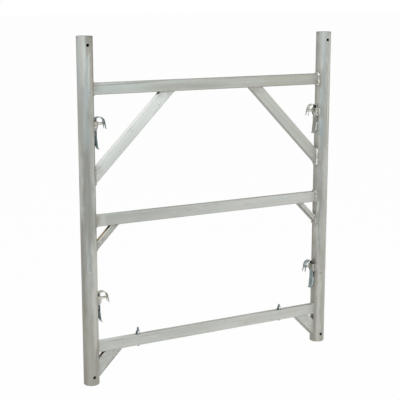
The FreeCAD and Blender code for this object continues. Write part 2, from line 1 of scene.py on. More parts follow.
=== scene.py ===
# %% [markdown]
# # A welded aluminium shoring frame
#
# The object is a ladder-like frame: two round legs, three rungs of rectangular tube, knee braces in the
# corners, bolts through the bottom rung and four gravity latches that hold cross braces. The construction
# is already fixed by the CAD model, so this lesson only dresses it: finishes, weld beads and screw
# threads.
#
# The first step loads the imported CAD model. Every CAD node arrives as a mesh at its real place, in
# metres.

# %% Load the frame
import math

import bpy
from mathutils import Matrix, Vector


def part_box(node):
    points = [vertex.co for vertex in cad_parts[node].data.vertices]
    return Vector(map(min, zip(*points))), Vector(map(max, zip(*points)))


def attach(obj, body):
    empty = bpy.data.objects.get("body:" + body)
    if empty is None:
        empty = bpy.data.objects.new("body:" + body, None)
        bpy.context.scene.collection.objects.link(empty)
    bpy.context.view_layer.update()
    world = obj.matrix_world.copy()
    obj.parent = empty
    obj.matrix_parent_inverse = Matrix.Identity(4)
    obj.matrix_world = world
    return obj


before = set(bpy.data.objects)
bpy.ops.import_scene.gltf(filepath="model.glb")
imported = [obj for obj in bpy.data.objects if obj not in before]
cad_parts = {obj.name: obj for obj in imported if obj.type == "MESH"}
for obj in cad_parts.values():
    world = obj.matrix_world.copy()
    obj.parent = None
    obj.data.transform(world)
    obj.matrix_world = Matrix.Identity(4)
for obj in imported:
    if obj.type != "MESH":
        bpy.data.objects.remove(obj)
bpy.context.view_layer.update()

scene = bpy.context.scene

# %% [markdown]
# ## The camera
#
# The photograph was taken from the left, a little above the frame and some four and a half metres away. A
# camera could be aimed by eye, but here its place, heading and lens were worked out from the frame's
# edges in the photograph. It has no shift, so that views from other sides stay centred too.

# %% Camera
CAMERA_PLACE = (-2.248, -3.928, 1.664)
CAMERA_HEADING = -0.5083
CAMERA_DIP = 0.1948
IMAGE_WIDTH = 400
FOCAL_PIXELS = 1007.0
SENSOR_WIDTH = 36.0
FARTHEST = 500.0

camera_data = bpy.data.cameras.new("camera")
camera_data.sensor_width = SENSOR_WIDTH
camera_data.lens = FOCAL_PIXELS * SENSOR_WIDTH / IMAGE_WIDTH
camera_data.clip_end = FARTHEST
camera = bpy.data.objects.new("camera", camera_data)
camera.location = CAMERA_PLACE
camera.rotation_euler = (math.pi / 2 - CAMERA_DIP, 0.0, CAMERA_HEADING)
scene.collection.objects.link(camera)
scene.camera = camera
print("lens %.1f mm" % camera_data.lens)

# %% [markdown]
# ## Measures taken from the frame
#
# Everything added later sits on the CAD pieces, so their places are read from the loaded nodes once:
# where the legs stand, how thick they are, the boxes of the rungs, and how far each sloping piece reaches
# along its rung. A sloping piece reaches as far down the leg, so those lengths also say where it meets
# the leg.

# %% Measures
SIDES = {"left": 1.0, "right": -1.0}
LEVELS = ("upper", "lower")
SPOTS = [(level, side) for level in LEVELS for side in SIDES]
leg_low, leg_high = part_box("left_leg")
LEG_RADIUS = (leg_high.x - leg_low.x) / 2
LEG_HEIGHT = leg_high.z
LEG_OFFSET = -leg_low.x - LEG_RADIUS
LEG_AXIS = {"left": -LEG_OFFSET, "right": LEG_OFFSET}
RUNG_BOX = {name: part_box(name + "_rung") for name in ("top", "middle", "bottom")}
RUNG_HALF_DEPTH = RUNG_BOX["top"][1].y
BRACKET_BOX = {spot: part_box("%s_%s_bracket" % spot) for spot in SPOTS}
STUD_LEVEL = {spot: sum(corner.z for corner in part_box("%s_%s_stud" % spot)) / 2 for spot in SPOTS}
TOUCHING = 0.0001


def sloping_reach(name):
    """Underside of the rung, and the nearest and farthest reach along it of a sloping piece."""
    corners = [vertex.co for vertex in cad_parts["left_" + name].data.vertices]
    top = max(corner.z for corner in corners)
    along = [corner.x + LEG_OFFSET for corner in corners if corner.z > top - TOUCHING]
    return top, min(along), max(along)


REACH = {name: sloping_reach(name) for name in ("upper_brace", "middle_brace", "foot_gusset")}
print("leg radius %.4f, leg axes %s" % (LEG_RADIUS, LEG_AXIS))
print("reaches:", {name: [round(value, 4) for value in reach] for name, reach in REACH.items()})

# %% [markdown]
# ## Adding nodes
#
# Each finish is a node material. Building nodes one line at a time gets long, so `add` makes a node, sets
# its options, sets or links its inputs and hands back one output. A helper that is given such an output
# finds the tree to build in from it. A finish starts from the plain shader of a metal and ends by
# plugging a colour, a roughness and a fine bump into it.

# %% Helpers that add nodes
BUMP_DEPTH = 0.0003
BUMP_STRENGTH = 0.2


def plug(socket, value):
    """Link an output into an input, or set the input's own value."""
    if isinstance(value, bpy.types.NodeSocket):
        socket.id_data.links.new(value, socket)
    else:
        socket.default_value = value


def add(tree, kind, inputs=None, output=0, **options):
    """Add a node with its options and inputs, each by name or number, and hand back one output."""
    node = tree.nodes.new(kind)
    for name, value in options.items():
        setattr(node, name, value)
    for key, value in (inputs or {}).items():
        plug(node.inputs[key], value)
    return node.outputs[output]


def start_finish(name, metallic):
    """New material of a metal, its shader and its Object coordinates."""
    material = bpy.data.materials.new(name)
    material.use_nodes = True
    tree = material.node_tree
    shader = tree.nodes["Principled BSDF"]
    shader.inputs["Metallic"].default_value = metallic
    return material, shader, add(tree, "ShaderNodeTexCoord", output="Object")


def close_finish(shader, colour, rough, height, depth=BUMP_DEPTH, strength=BUMP_STRENGTH):
    """Plug the finished layers into the shader, with a bump of a depth in metres."""
    inputs = {"Strength": strength, "Distance": depth, "Height": height}
    plug(shader.inputs["Base Color"], colour)
    plug(shader.inputs["Roughness"], rough)
    plug(shader.inputs["Normal"], add(shader.id_data, "ShaderNodeBump", inputs))


print("node helpers ready")

# %% [markdown]
# ## Noise and arithmetic
#
# `grain` is the most useful helper: noise whose grain has a real size in metres along a piece, so that
# drawn tube gets long streaks and bent plate gets round blotches. The others take one step of arithmetic
# each. Most work on masks: values from 0 to 1 that say how much of a mark there is at a point.

# %% Helpers for noise and arithmetic
NOT_MOVED = (0.0, 0.0, 0.0)
# Noise seldom leaves this span
NOISE_SPAN = (0.3, 0.7)


def stretched(place, size, turn, shift):
    """Coordinates moved to a place, turned along a piece and measured in grains of one size or three."""
    scale = size if isinstance(size, tuple) else (size, size, size)
    inputs = {"Vector": place, "Location": shift, "Rotation": turn, "Scale": scale}
    return add(place.id_data, "ShaderNodeMapping", inputs, vector_type="TEXTURE")


def grain(place, size, turn=NOT_MOVED, shift=NOT_MOVED, detail=3.0, fray=0.55):
    """Noise from 0 to 1 with a grain of the given size in metres, turned to run along a piece."""
    local = stretched(place, size, turn, shift)
    inputs = {"Vector": local, "Scale": 1.0, "Detail": detail, "Roughness": fray}
    return add(place.id_data, "ShaderNodeTexNoise", inputs)


def remap(value, low, high, first=0.0, last=1.0):
    """Stretch a value from one span to another, held at both ends."""
    inputs = {"Value": value, "From Min": low, "From Max": high, "To Min": first, "To Max": last}
    return add(value.id_data, "ShaderNodeMapRange", inputs)


def fade(value, level, ends, first=0.0, last=1.0):
    """Stretch a value between two distances from a level, held at both ends."""
    return remap(value, level + ends[0], level + ends[1], first, last)


def vary(noise, least, most):
    """Value that goes from least to most with a noise."""
    return remap(noise, *NOISE_SPAN, least, most)


def combine(operation, first, second=0.0):
    """One step of arithmetic on two values, of which one at least is an output."""
    known = first if isinstance(first, bpy.types.NodeSocket) else second
    return add(known.id_data, "ShaderNodeMath", {0: first, 1: second}, operation=operation)


def plus(first, second):
    """Sum of two values."""
    return combine("ADD", first, second)


def minus(first, second):
    """What is left of a value when another is taken away."""
    return combine("SUBTRACT", first, second)


def gap(first, second=0.0):
    """Distance between two values."""
    return combine("ABSOLUTE", minus(first, second))


def both(first, second):
    """Share that two masks have in common."""
    return combine("MULTIPLY", first, second)


def either(first, second):
    """The stronger of two masks."""
    return combine("MAXIMUM", first, second)


print("noise helpers ready")

# %% [markdown]
# ## Colours
#
# A finish is built up like thin coats of paint: `lay` puts a shade over the colour so far, where a mask
# is. Shades are written as they look on a screen, in red, green and blue from 0 to 255, and `paint` turns
# them into the linear colours that nodes mix.

# %% Helpers for colours
def paint(shade):
    """Linear colour of a shade as it looks on a screen; an output is a colour already."""
    if isinstance(shade, bpy.types.NodeSocket):
        return shade
    linear = []
    for value in shade:
        share = value / 255.0
        linear.append(share / 12.92 if share <= 0.04045 else ((share + 0.055) / 1.055) ** 2.4)
    return (*linear, 1.0)


def tint(share, first, second):
    """Colour mixed from two by a share from 0 to 1."""
    inputs = {0: share, 6: paint(first), 7: paint(second)}
    return add(share.id_data, "ShaderNodeMix", inputs, 2, data_type="RGBA")


def lay(colour, shade, mask, share=1.0):
    """Colour with a shade laid over it where a mask is, as thick as a share."""
    cover = mask if share == 1.0 else both(mask, share)
    return tint(cover, colour, shade)


print("middle grey as a linear colour: %.3f" % paint((128, 128, 128))[0])

# %% [markdown]
# ## Helpers that know where a mark is
#
# Dirt is not spread evenly: soot lies beside welds, grime lies on top of rungs and inside channels, and
# edges are lightened, as rubbing wear and as a painted highlight. These helpers tell where a point is on
# its piece and which way its surface faces, and masks are made from that; painted light and shade are
# placed the same way.

# %% Helpers for places
def split(place):
    """X, Y and Z of a coordinate."""
    return add(place.id_data, "ShaderNodeSeparateXYZ", {"Vector": place}).node.outputs[:]


def from_leg(x):
    """Distance inward from the nearer leg's axis."""
    return minus(LEG_OFFSET, gap(x))


def spans(value, reach, lit, fade):
    """1 where a value from 0 to reach is inside one of the lit spans, fading out beside it."""
    ramp = add(value.id_data, "ShaderNodeValToRGB", {"Fac": combine("DIVIDE", value, reach)})
    stops = ramp.node.color_ramp.elements
    for end, position in enumerate((0.0, 1.0)):
        stops[end].position = position
        stops[end].color = (0.0, 0.0, 0.0, 1.0)
    for low, high in lit:
        for position, share in ((low - fade, 0.0), (low, 1.0), (high, 1.0), (high + fade, 0.0)):
            if 0.0 < position < reach:
                stops.new(position / reach).color = (share, share, share, 1.0)
    return ramp


def surface_normal(place):
    """Direction that a surface faces."""
    return add(place.id_data, "ShaderNodeNewGeometry", output="Normal")


def agreement(first, second):
    """How much two directions agree, from -1 to 1."""
    inputs = {0: first, 1: second}
    return add(first.id_data, "ShaderNodeVectorMath", inputs, "Value", operation="DOT_PRODUCT")


def facing(place, way):
    """How much a surface faces a direction, from -1 to 1."""
    return agreement(surface_normal(place), way)


def heading(place):
    """Way a surface faces round the vertical, in degrees: 0 is the front, 90 the right."""
    x, y, _ = split(surface_normal(place))
    turn = combine("ARCTAN2", x, combine("MULTIPLY", y, -1.0))
    return combine("MULTIPLY", turn, 180.0 / math.pi)


print("place helpers ready")

# %% [markdown]
# ## Single marks
#
# Besides what is spread all over, the frame has a few marks of its own: a scratch, a pit, a long stain.
# Each could be a small picture laid on the metal. A stretched ball with a ragged edge does the same with
# a few numbers, and it stays sharp at any size. An edge is found with a Bevel node: where the rounded
# normal leaves the flat one, an edge is near.

# %% Helpers for marks
SMEAR_GRAIN = 0.004
EDGE_SAMPLES = 6
FLAT_TO_EDGE = (0.97, 0.75)


def smear(place, middle, size, turn, fray):
    """Soft-edged mark round a middle, with half sizes in metres, turned in the plane of the frame."""
    local = stretched(place, size, (0.0, turn, 0.0), middle)
    away = add(place.id_data, "ShaderNodeVectorMath", {0: local}, "Value", operation="LENGTH")
    ragged = combine("MULTIPLY", grain(place, SMEAR_GRAIN), fray)
    return remap(plus(away, ragged), 1.0 + fray, 0.4 + fray / 2)


def lay_marks(place, colour, marks):
    """Lay single marks on a colour: middle, half sizes, turn, fray, share and shade of each."""
    for middle, size, turn, fray, share, shade in marks:
        colour = lay(colour, shade, smear(place, middle, size, turn, fray), share)
    return colour


def dots(place, spacing, radius, shift):
    """Small scattered dots, one at most in each cell."""
    local = stretched(place, spacing, NOT_MOVED, shift)
    away = add(place.id_data, "ShaderNodeTexVoronoi", {"Vector": local, "Scale": 1.0})
    return remap(away, radius / spacing, 0.5 * radius / spacing)


def edges(place, radius):
    """Mask of the edges within a radius."""
    rounded = add(place.id_data, "ShaderNodeBevel", {"Radius": radius}, samples=EDGE_SAMPLES)
    return remap(agreement(rounded, surface_normal(place)), *FLAT_TO_EDGE)


print("mark helpers ready")

# %% [markdown]
# ## Mill-finish tube
#
# Legs, rungs and braces are drawn aluminium tube that was never polished or painted. Such tube is pale
# grey and half matt, with fine die lines along its length, slow bands of duller and clearer grey, a few
# cool streaks and warm water stains, and small dark pits. A picture texture could show all that, but
# noise stretched along the tube gives the same marks at any size, and each tube can have its own shades,
# as tubes from different lengths do. `mill_metal` mixes what every tube has in common.

# %% Tube metal
ALONG_LEG = NOT_MOVED
ALONG_RUNG = (0.0, math.pi / 2, 0.0)
ALONG_BRACE = {"left": (0.0, math.pi / 4, 0.0), "right": (0.0, -math.pi / 4, 0.0)}
TUBE_METALLIC = 0.6
COOL_STREAK = (166, 182, 186)
WARM_STAIN = (150, 143, 128)
DIE_LINE = (140, 138, 130)
SCRATCH = (206, 209, 206)
PIT = (92, 86, 76)
PIT_SPACING = 0.034
PIT_RADIUS = 0.0015
NICK_SLANT = 0.5
COOL_SHIFT = (0.7, 0.1, 0.4)
WARM_SHIFT = (0.2, 0.5, 0.9)
# Width and length of a grain in metres, detail and fray
TUBE_GRAIN = {
    "lines": (0.0026, 0.9, 2.0, 0.6),
    "bands": (0.017, 0.8, 2.0, 0.5),
    "clouds": (0.05, 0.16, 5.0, 0.6),
    "cool": (0.011, 0.3, 2.0, 0.5),
    "warm": (0.018, 0.1, 4.0, 0.6),
    "nicks": (0.0012, 0.035, 1.0, 0.55),
}


def along_tube(place, kind, run, shift):
    """Noise of one kind, drawn out along a tube."""
    width, length, detail, fray = TUBE_GRAIN[kind]
    return grain(place, (width, width, length), run, shift, detail, fray)


def mill_metal(place, dull, clear, run, shift, streaks):
    """Colour, roughness and height of drawn aluminium, with a share of streaks along the run."""
    lines, bands, clouds = (along_tube(place, kind, run, shift) for kind in ("lines", "bands", "clouds"))
    cool = along_tube(place, "cool", run, COOL_SHIFT)
    warm = along_tube(place, "warm", run, WARM_SHIFT)
    nicks = along_tube(place, "nicks", (run[0], run[1] + NICK_SLANT, run[2]), shift)
    worn = both(remap(nicks, 0.70, 0.76), remap(warm, 0.45, 0.6))
    sheen = plus(both(bands, 0.5), both(clouds, 0.5))
    colour = tint(remap(sheen, 0.36, 0.64), dull, clear)
    colour = lay(colour, DIE_LINE, remap(lines, 0.4, 0.7, 0.0, 0.28), streaks)
    colour = lay(colour, COOL_STREAK, remap(cool, 0.54, 0.68, 0.0, 0.42), streaks)
    colour = lay(colour, WARM_STAIN, remap(warm, 0.58, 0.74, 0.0, 0.4))
    colour = lay(colour, SCRATCH, worn, 0.3)
    colour = lay(colour, PIT, dots(place, PIT_SPACING, PIT_RADIUS, shift), 0.6)
    matt = vary(clouds, 0.42, 0.54)
    rough = plus(matt, vary(lines, -0.04, 0.04))
    return colour, rough, lines


print("kinds of tube grain:", len(TUBE_GRAIN))

# %% [markdown]
# ## Bands of painted light and shade on the legs
#
# A leg is not the same all the way up or round, and most of that is painted light and shade: the top is
# lighter, with a blue painted reflection, the middle has a darker grey painted shade, the left sides carry
# brown painted shade and the right sides a pale painted light near the ground. Such marks run along the
# tube, so each is a band round one heading between two heights, with ragged ends. A table lists the bands
# of each leg. Their places and shares were settled by setting one render after another against the
# photograph; those at the back, which it doesn't show, are made up.

# %% Leg bands
# Colours for the bands, which are mostly painted light and shade
BROWN_PAINTED_SHADE = (126, 119, 106)
GREY_PAINTED_SHADE = (132, 133, 126)
PALE_PAINTED_LIGHT = (216, 216, 208)
BLUE_PAINTED_REFLECTION = (156, 173, 178)
WARM = (172, 164, 146)
# Heading, half width in degrees, lowest and highest point in metres, share, colour
LEG_LIGHT_AND_SHADE_BANDS = {
    "left": (
        (-35, 110, -0.10, 0.42, 0.26, WARM),
        (-25, 45, 0.64, 1.06, 0.42, GREY_PAINTED_SHADE),
        (-3, 26, 0.52, 0.92, 0.32, GREY_PAINTED_SHADE),
        (-90, 55, -0.10, 0.70, 0.45, BROWN_PAINTED_SHADE),
        (-75, 24, 0.72, 1.12, 0.36, PALE_PAINTED_LIGHT),
        (-55, 26, -0.10, 0.30, 0.12, PALE_PAINTED_LIGHT),
        (26, 38, 0.18, 0.62, 0.50, PALE_PAINTED_LIGHT),
        (15, 30, -0.10, 0.15, 0.28, BROWN_PAINTED_SHADE),
        (-46, 30, 1.36, 1.60, 0.35, PALE_PAINTED_LIGHT),
        (22, 42, 1.14, 1.60, 0.58, GREY_PAINTED_SHADE),
        (1, 14, 1.34, 1.43, 0.55, PALE_PAINTED_LIGHT),
        (48, 26, 1.30, 1.60, 0.72, BROWN_PAINTED_SHADE),
        (16, 36, 1.42, 1.62, 0.55, BROWN_PAINTED_SHADE),
        (14, 22, 1.02, 1.18, 0.30, BROWN_PAINTED_SHADE),
        (-38, 18, 1.04, 1.20, 0.22, PALE_PAINTED_LIGHT),
        (-58, 22, 0.42, 0.60, 0.30, GREY_PAINTED_SHADE),
        (-14, 17, 1.02, 1.42, 0.38, BLUE_PAINTED_REFLECTION),
        (-125, 40, 0.00, 1.60, 0.45, BROWN_PAINTED_SHADE),
        (72, 34, 0.60, 1.60, 0.55, BROWN_PAINTED_SHADE),
    ),
    "right": (
        (-35, 110, -0.10, 0.52, 0.22, WARM),
        (-25, 30, 0.68, 1.10, 0.30, GREY_PAINTED_SHADE),
        (-90, 45, -0.10, 1.60, 0.25, BROWN_PAINTED_SHADE),
        (-66, 28, 0.90, 1.42, 0.40, PALE_PAINTED_LIGHT),
        (-64, 28, 0.54, 0.74, 0.54, PALE_PAINTED_LIGHT),
        (-36, 10, 0.44, 0.72, 0.45, GREY_PAINTED_SHADE),
        (-28, 22, -0.10, 0.40, 0.45, PALE_PAINTED_LIGHT),
        (-8, 16, 0.74, 0.92, 0.20, PALE_PAINTED_LIGHT),
        (15, 34, 0.94, 1.60, 0.54, GREY_PAINTED_SHADE),
        (-31, 15, 0.98, 1.42, 0.42, BLUE_PAINTED_REFLECTION),
        (-60, 18, 1.40, 1.62, 0.30, PALE_PAINTED_LIGHT),
        (-126, 38, 0.00, 1.60, 0.62, BROWN_PAINTED_SHADE),
        (62, 38, 0.00, 1.60, 0.46, BROWN_PAINTED_SHADE),
    ),
}
BAND_FADE = 0.06
BAND_CORE = 0.4


def painted_band(towards, lifted, middle, width, low, high):
    """Strip of a tube round one heading, between two heights, with soft sides and ends."""
    across = remap(gap(towards, middle), width, BAND_CORE * width)
    from_low = fade(lifted, low, (-BAND_FADE, BAND_FADE))
    to_high = fade(lifted, high, (BAND_FADE, -BAND_FADE))
    return both(across, both(from_low, to_high))


print("leg bands:", {side: len(rows) for side, rows in LEG_LIGHT_AND_SHADE_BANDS.items()})

# %% [markdown]
# ## Soot on the legs
#
# Welding leaves a brown-grey haze beside each joint. It lies on the inward side of a leg wherever a rung,
# a brace or a bracket is welded on, so the heights are worked out from the measures, and spans that
# nearly meet are joined. The feet have hardly any.

# %% Soot on the legs
SOOT = (126, 120, 110)
SOOT_MATT = 0.15
SOOT_PATCHES = (0.35, 0.6)
SOOT_FADE = 0.028
SOOT_SIDE = (0.008, 0.03)
CLEAN_FEET = (0.26, 0.36)


def leg_welds():
    """Spans of height on a leg where something is welded on, joined where they are close."""
    found = [(low.z, high.z) for low, high in (*RUNG_BOX.values(), *BRACKET_BOX.values())]
    found += [(top - far + LEG_RADIUS, top - near + LEG_RADIUS) for top, near, far in REACH.values()]
    joined = []
    for low, high in sorted(found):
        if joined and low - joined[-1][1] < 2 * SOOT_FADE:
            joined[-1] = (joined[-1][0], max(high, joined[-1][1]))
        else:
            joined.append((low, high))
    return joined


def leg_soot(z, inward, patchy):
    """Soot beside the welds of a leg."""
    welded = spans(z, LEG_HEIGHT, leg_welds(), SOOT_FADE)
    beside_weld = both(remap(inward, *SOOT_SIDE), welded)
    soot = both(beside_weld, remap(patchy, *SOOT_PATCHES, 0.1, 0.6))
    return both(soot, remap(z, *CLEAN_FEET, 0.1, 1.0))


print("weld spans on a leg:", [(round(low, 3), round(high, 3)) for low, high in leg_welds()])

# %% [markdown]
# ## The legs
#
# A leg's finish is the tube metal, then a lighter, bluer top, partly clearer metal and partly a painted
# highlight, and a darker foot, the bands, the soot, painted shade at the rim to each side of the front, and
# the single marks. Last comes the inside of the tube: it is painted dark as shadow, which is what makes the
# pin holes look black.

# %% Leg finish
LEG_SHADES = (160, 160, 153), (187, 190, 186)
TOP_CLEAR_AND_HIGHLIGHT = (199, 205, 204)
TOP_LIGHTER_SPAN = (1.12, 1.45)
TOP_LIGHTER_SHARE = {"left": 0.5, "right": 0.1}
FOOT_DARKER = (140, 137, 127)
FOOT_DARKER_SPAN = (0.12, -0.1)
STREAKS_GROW = (0.5, 1.1)
LEG_PATCH = (0.03, 0.03, 0.14)
LEG_WANDER = (0.03, 0.03, 0.07)
BAND_RAGGED = 0.09
BAND_SWAY = 11.0
RIM = 0.006
RIM_PAINTED_SHADE = (104, 98, 87)
RIM_HEIGHT = (-0.016, -0.003)
RIM_FRONT = -28.0
RIM_SIDES = (35.0, 65.0)
BORE_PAINTED_SHADOW = (52, 50, 46)
BORE_DEPTH = (-0.0018, -0.0026)
BORE_FADE = 0.002
# Middle, half sizes, turn, fray, share and shade
LEG_MARKS = {
    "left": (
        ((-0.6205, -0.034, 0.516), (0.018, 0.012, 0.0016), 0.08, 0.3, 0.7, (222, 224, 220)),
        ((-0.6055, -0.0348, 1.29), (0.0026, 0.004, 0.0026), 0.0, 0.3, 0.9, PIT),
    ),
    "right": (((0.601, -0.034, 0.353), (0.008, 0.012, 0.004), 0.3, 0.3, 0.7, (112, 104, 90)),),
}


def leg_finish(side):
    """Finish of a leg."""
    material, shader, place = start_finish("mill_%s_leg" % side, TUBE_METALLIC)
    x, y, z = split(place)
    inward = from_leg(x)
    streaks = remap(z, *STREAKS_GROW, 0.3, 1.0)
    colour, rough, height = mill_metal(place, *LEG_SHADES, ALONG_LEG, NOT_MOVED, streaks)
    patchy = grain(place, LEG_PATCH, detail=4.0)
    lifted = plus(z, vary(patchy, -BAND_RAGGED, BAND_RAGGED))
    # Lighter, bluer top, partly clearer metal and partly a painted highlight; darker foot
    colour = lay(colour, TOP_CLEAR_AND_HIGHLIGHT, remap(lifted, *TOP_LIGHTER_SPAN, 0.0, TOP_LIGHTER_SHARE[side]))
    colour = lay(colour, FOOT_DARKER, remap(lifted, *FOOT_DARKER_SPAN, 0.0, 0.4))
    wander = grain(place, LEG_WANDER, detail=2.0)
    towards = plus(heading(place), vary(wander, -BAND_SWAY, BAND_SWAY))
    # Bands of painted light and shade
    for *strip, share, shade in LEG_LIGHT_AND_SHADE_BANDS[side]:
        colour = lay(colour, shade, painted_band(towards, lifted, *strip), share)
    soot = leg_soot(z, inward, patchy)
    colour = lay(colour, SOOT, soot)
    rough = plus(rough, both(soot, SOOT_MATT))
    # Painted shade at the top of the leg, to each side of the front
    off_front = remap(gap(towards, RIM_FRONT), *RIM_SIDES)
    colour = lay(colour, RIM_PAINTED_SHADE, both(fade(z, LEG_HEIGHT, RIM_HEIGHT), off_front), 0.6)
    colour = lay_marks(place, colour, LEG_MARKS[side])
    # Painted shadow inside the tube
    radius = combine("SQRT", plus(both(inward, inward), both(y, y)))
    within = spans(z, LEG_HEIGHT, [(RIM, LEG_HEIGHT - RIM)], BORE_FADE)
    colour = lay(colour, BORE_PAINTED_SHADOW, both(fade(radius, LEG_RADIUS, BORE_DEPTH), within))
    close_finish(shader, colour, rough, height)
    return material


leg_metal = {side: leg_finish(side) for side in SIDES}
print("leg finishes:", [material.name for material in leg_metal.values()])

# %% [markdown]
# ## The rungs
#
# The rungs are lengths of the same stock, and each shades slowly from one end to the other. Grime has
# settled on their upper faces, found here by how far a face looks up, and soot lies at both ends. The
# stain along the left part of the top rung is one long thin smear, its underside and lower edge carry
# painted shade, and the middle rung has a pale patch beside its left weld.

# %% Rung finishes
GRIME = (122, 120, 111)
GRIME_START = (-0.52, -0.36)
RUNG_END = LEG_OFFSET - LEG_RADIUS
RUNG_SOOT_LENGTH = 0.035
RUNG_SOOT = {"top": 0.45, "middle": 0.45, "bottom": 0.15}
UNDERSIDE = (0.0, -0.5, -0.866)
UNDERSIDE_PAINTED_SHADE = (120, 113, 98)
LEFT_TO_RIGHT = (-0.45, 0.32)
RUNG_PATCH = (0.03, 0.03, 0.2)
RUNG_RAGGED = 0.2
RUNG_STREAKS = 0.45
RUNG_FRONT = -RUNG_HALF_DEPTH
# Middle, half sizes, turn, fray, share and shade
RUNG_MARKS = {
    "top": (
        ((-0.41, RUNG_FRONT, 1.3205), (0.17, 0.004, 0.0019), -0.028, 0.9, 0.65, (122, 113, 96)),
        ((-0.13, RUNG_FRONT, 1.298), (0.2, 0.012, 0.018), 0.0, 0.5, 0.55, (142, 142, 134)),
    ),
    "middle": (((-0.548, RUNG_FRONT, 0.735), (0.02, 0.01, 0.036), 0.0, 0.2, 0.4, (208, 210, 205)),),
    "bottom": (),
}
# Dull and clear shade at the left end, the same at the right end, and a shift that makes the grain its own
RUNG_SHADES = {
    "top": (((170, 174, 169), (186, 192, 189)), ((152, 153, 146), (166, 167, 160)), NOT_MOVED),
    "middle": (((170, 173, 167), (184, 187, 182)), ((182, 183, 178), (194, 195, 191)), (0.3, 0.2, 0.0)),
    "bottom": (((196, 198, 192), (209, 211, 206)), ((190, 191, 185), (202, 203, 197)), (0.6, 0.4, 0.2)),
}


def rung_finish(name, left, right, shift):
    """Finish of a rung that shades from its left (dull, clear) to its right (dull, clear)."""
    material, shader, place = start_finish("mill_%s_rung" % name, TUBE_METALLIC)
    x, _, _ = split(place)
    patchy = grain(place, RUNG_PATCH, ALONG_RUNG, shift, 4.0)
    along = remap(plus(x, vary(patchy, -RUNG_RAGGED, RUNG_RAGGED)), *LEFT_TO_RIGHT)
    dull, clear = (tint(along, first, last) for first, last in zip(left, right))
    colour, rough, height = mill_metal(place, dull, clear, ALONG_RUNG, shift, RUNG_STREAKS)
    looks_up = remap(facing(place, (0.0, 0.0, 1.0)), 0.55, 0.95)
    settled = both(looks_up, remap(x, *GRIME_START))
    grime = both(settled, remap(patchy, 0.3, 0.65, 0.2, 0.55))
    colour = lay(colour, GRIME, grime)
    near_leg = fade(gap(x), RUNG_END, (-RUNG_SOOT_LENGTH, 0.0))
    soot = both(near_leg, remap(patchy, *SOOT_PATCHES, 0.1, RUNG_SOOT[name]))
    colour = lay(colour, SOOT, soot)
    colour = lay_marks(place, colour, RUNG_MARKS[name])
    if name == "top":
        # Painted shade on the top rung's underside and lower edge
        under = remap(facing(place, UNDERSIDE), 0.6, 0.9, 0.0, 0.6)
        colour = lay(colour, UNDERSIDE_PAINTED_SHADE, under)
    rough = plus(rough, both(either(grime, soot), SOOT_MATT))
    close_finish(shader, colour, rough, height)
    return material


rung_metal = {name: rung_finish(name, *shades) for name, shades in RUNG_SHADES.items()}
print("rung finishes:", [material.name for material in rung_metal.values()])

# %% [markdown]
# ## The upper braces
#
# Both braces are sooty at their ends. The left one is paler than the right, as a painted sheen. Its upper
# side carries pale painted light, with painted shadow in the gap under the rung, and its front has painted
# shade towards its lower edge and three small scuffs. On the upper side the shader is made rougher and less
# metallic: bare metal as pale as that would glare wherever it mirrors a lamp.

# %% Brace finishes
DIAGONAL = 0.707
# The left brace's paler shades are a painted sheen
BRACE_SHADES_AND_PAINTED_SHEEN = {
    "left": ((212, 216, 213), (222, 226, 223), (0.3, 0.0, 0.0), 0.2),
    "right": ((166, 168, 161), (178, 180, 174), (0.0, 0.0, 0.3), 0.5),
}
UPPER_SIDE_PAINTED_LIGHT = (252, 252, 248)
UPPER_SIDE_METALLIC = 0.35
UPPER_SIDE_MATT = (0.15, 0.4)
LOWER_EDGE_PAINTED_SHADE = (190, 192, 187)
SLIT_PAINTED_SHADOW = (44, 38, 31)
# Heights from the rung's underside, and a distance from the leg's axis, in metres
EDGE_FADE = (-0.1, -0.2)
SLIT_FADE = (-0.013, -0.008)
UPPER_SOOT = (-0.035, -0.005)
LOWER_SOOT = (0.075, 0.04)
BRACE_PATCH = 0.02
# Share of the way up the left brace, and metres above its middle line
BRACE_SCUFFS = ((0.52, 0.006), (0.315, -0.010), (0.858, -0.010))
SCUFF_SIZE = (0.005, 0.006, 0.0022)
SCUFF_TURN = -0.785
SCUFF_SHADE = (140, 139, 130)


def brace_scuffs():
    """Single marks of the left brace's front."""
    top, near, far = REACH["upper_brace"]
    middle = 0.5 * (near + far)
    marks = []
    for along, off in BRACE_SCUFFS:
        reach = LEG_RADIUS + along * (middle - LEG_RADIUS)
        spot = (reach - LEG_OFFSET - DIAGONAL * off, RUNG_FRONT, top - middle + reach + DIAGONAL * off)
        marks.append((spot, SCUFF_SIZE, SCUFF_TURN, 0.5, 0.55, SCUFF_SHADE))
    return marks


def left_brace_light_and_shade(shader, place, z, inward, colour, rough):
    """Colour and roughness of the left brace: painted light above, painted shade low, scuffs, painted slit
    shadow.
    """
    top, near, far = REACH["upper_brace"]
    upper_side = remap(facing(place, (-DIAGONAL, 0.0, DIAGONAL)), 0.2, 0.8)
    lower_edge = remap(minus(z, inward), top - near, top - far)
    # Painted shade towards the lower edge
    shaded = both(lower_edge, fade(z, top, EDGE_FADE, 0.1, 0.6))
    colour = lay(colour, LOWER_EDGE_PAINTED_SHADE, shaded)
    # Pale painted light on the upper side
    colour = lay(colour, UPPER_SIDE_PAINTED_LIGHT, upper_side)
    rough = plus(rough, remap(upper_side, 0.0, 1.0, *UPPER_SIDE_MATT))
    plug(shader.inputs["Metallic"], remap(upper_side, 0.0, 1.0, TUBE_METALLIC, UPPER_SIDE_METALLIC))
    colour = lay_marks(place, colour, brace_scuffs())
    # Painted shadow in the gap under the rung
    slit_shadow = both(upper_side, fade(z, top, SLIT_FADE))
    return lay(colour, SLIT_PAINTED_SHADOW, slit_shadow, 0.9), rough


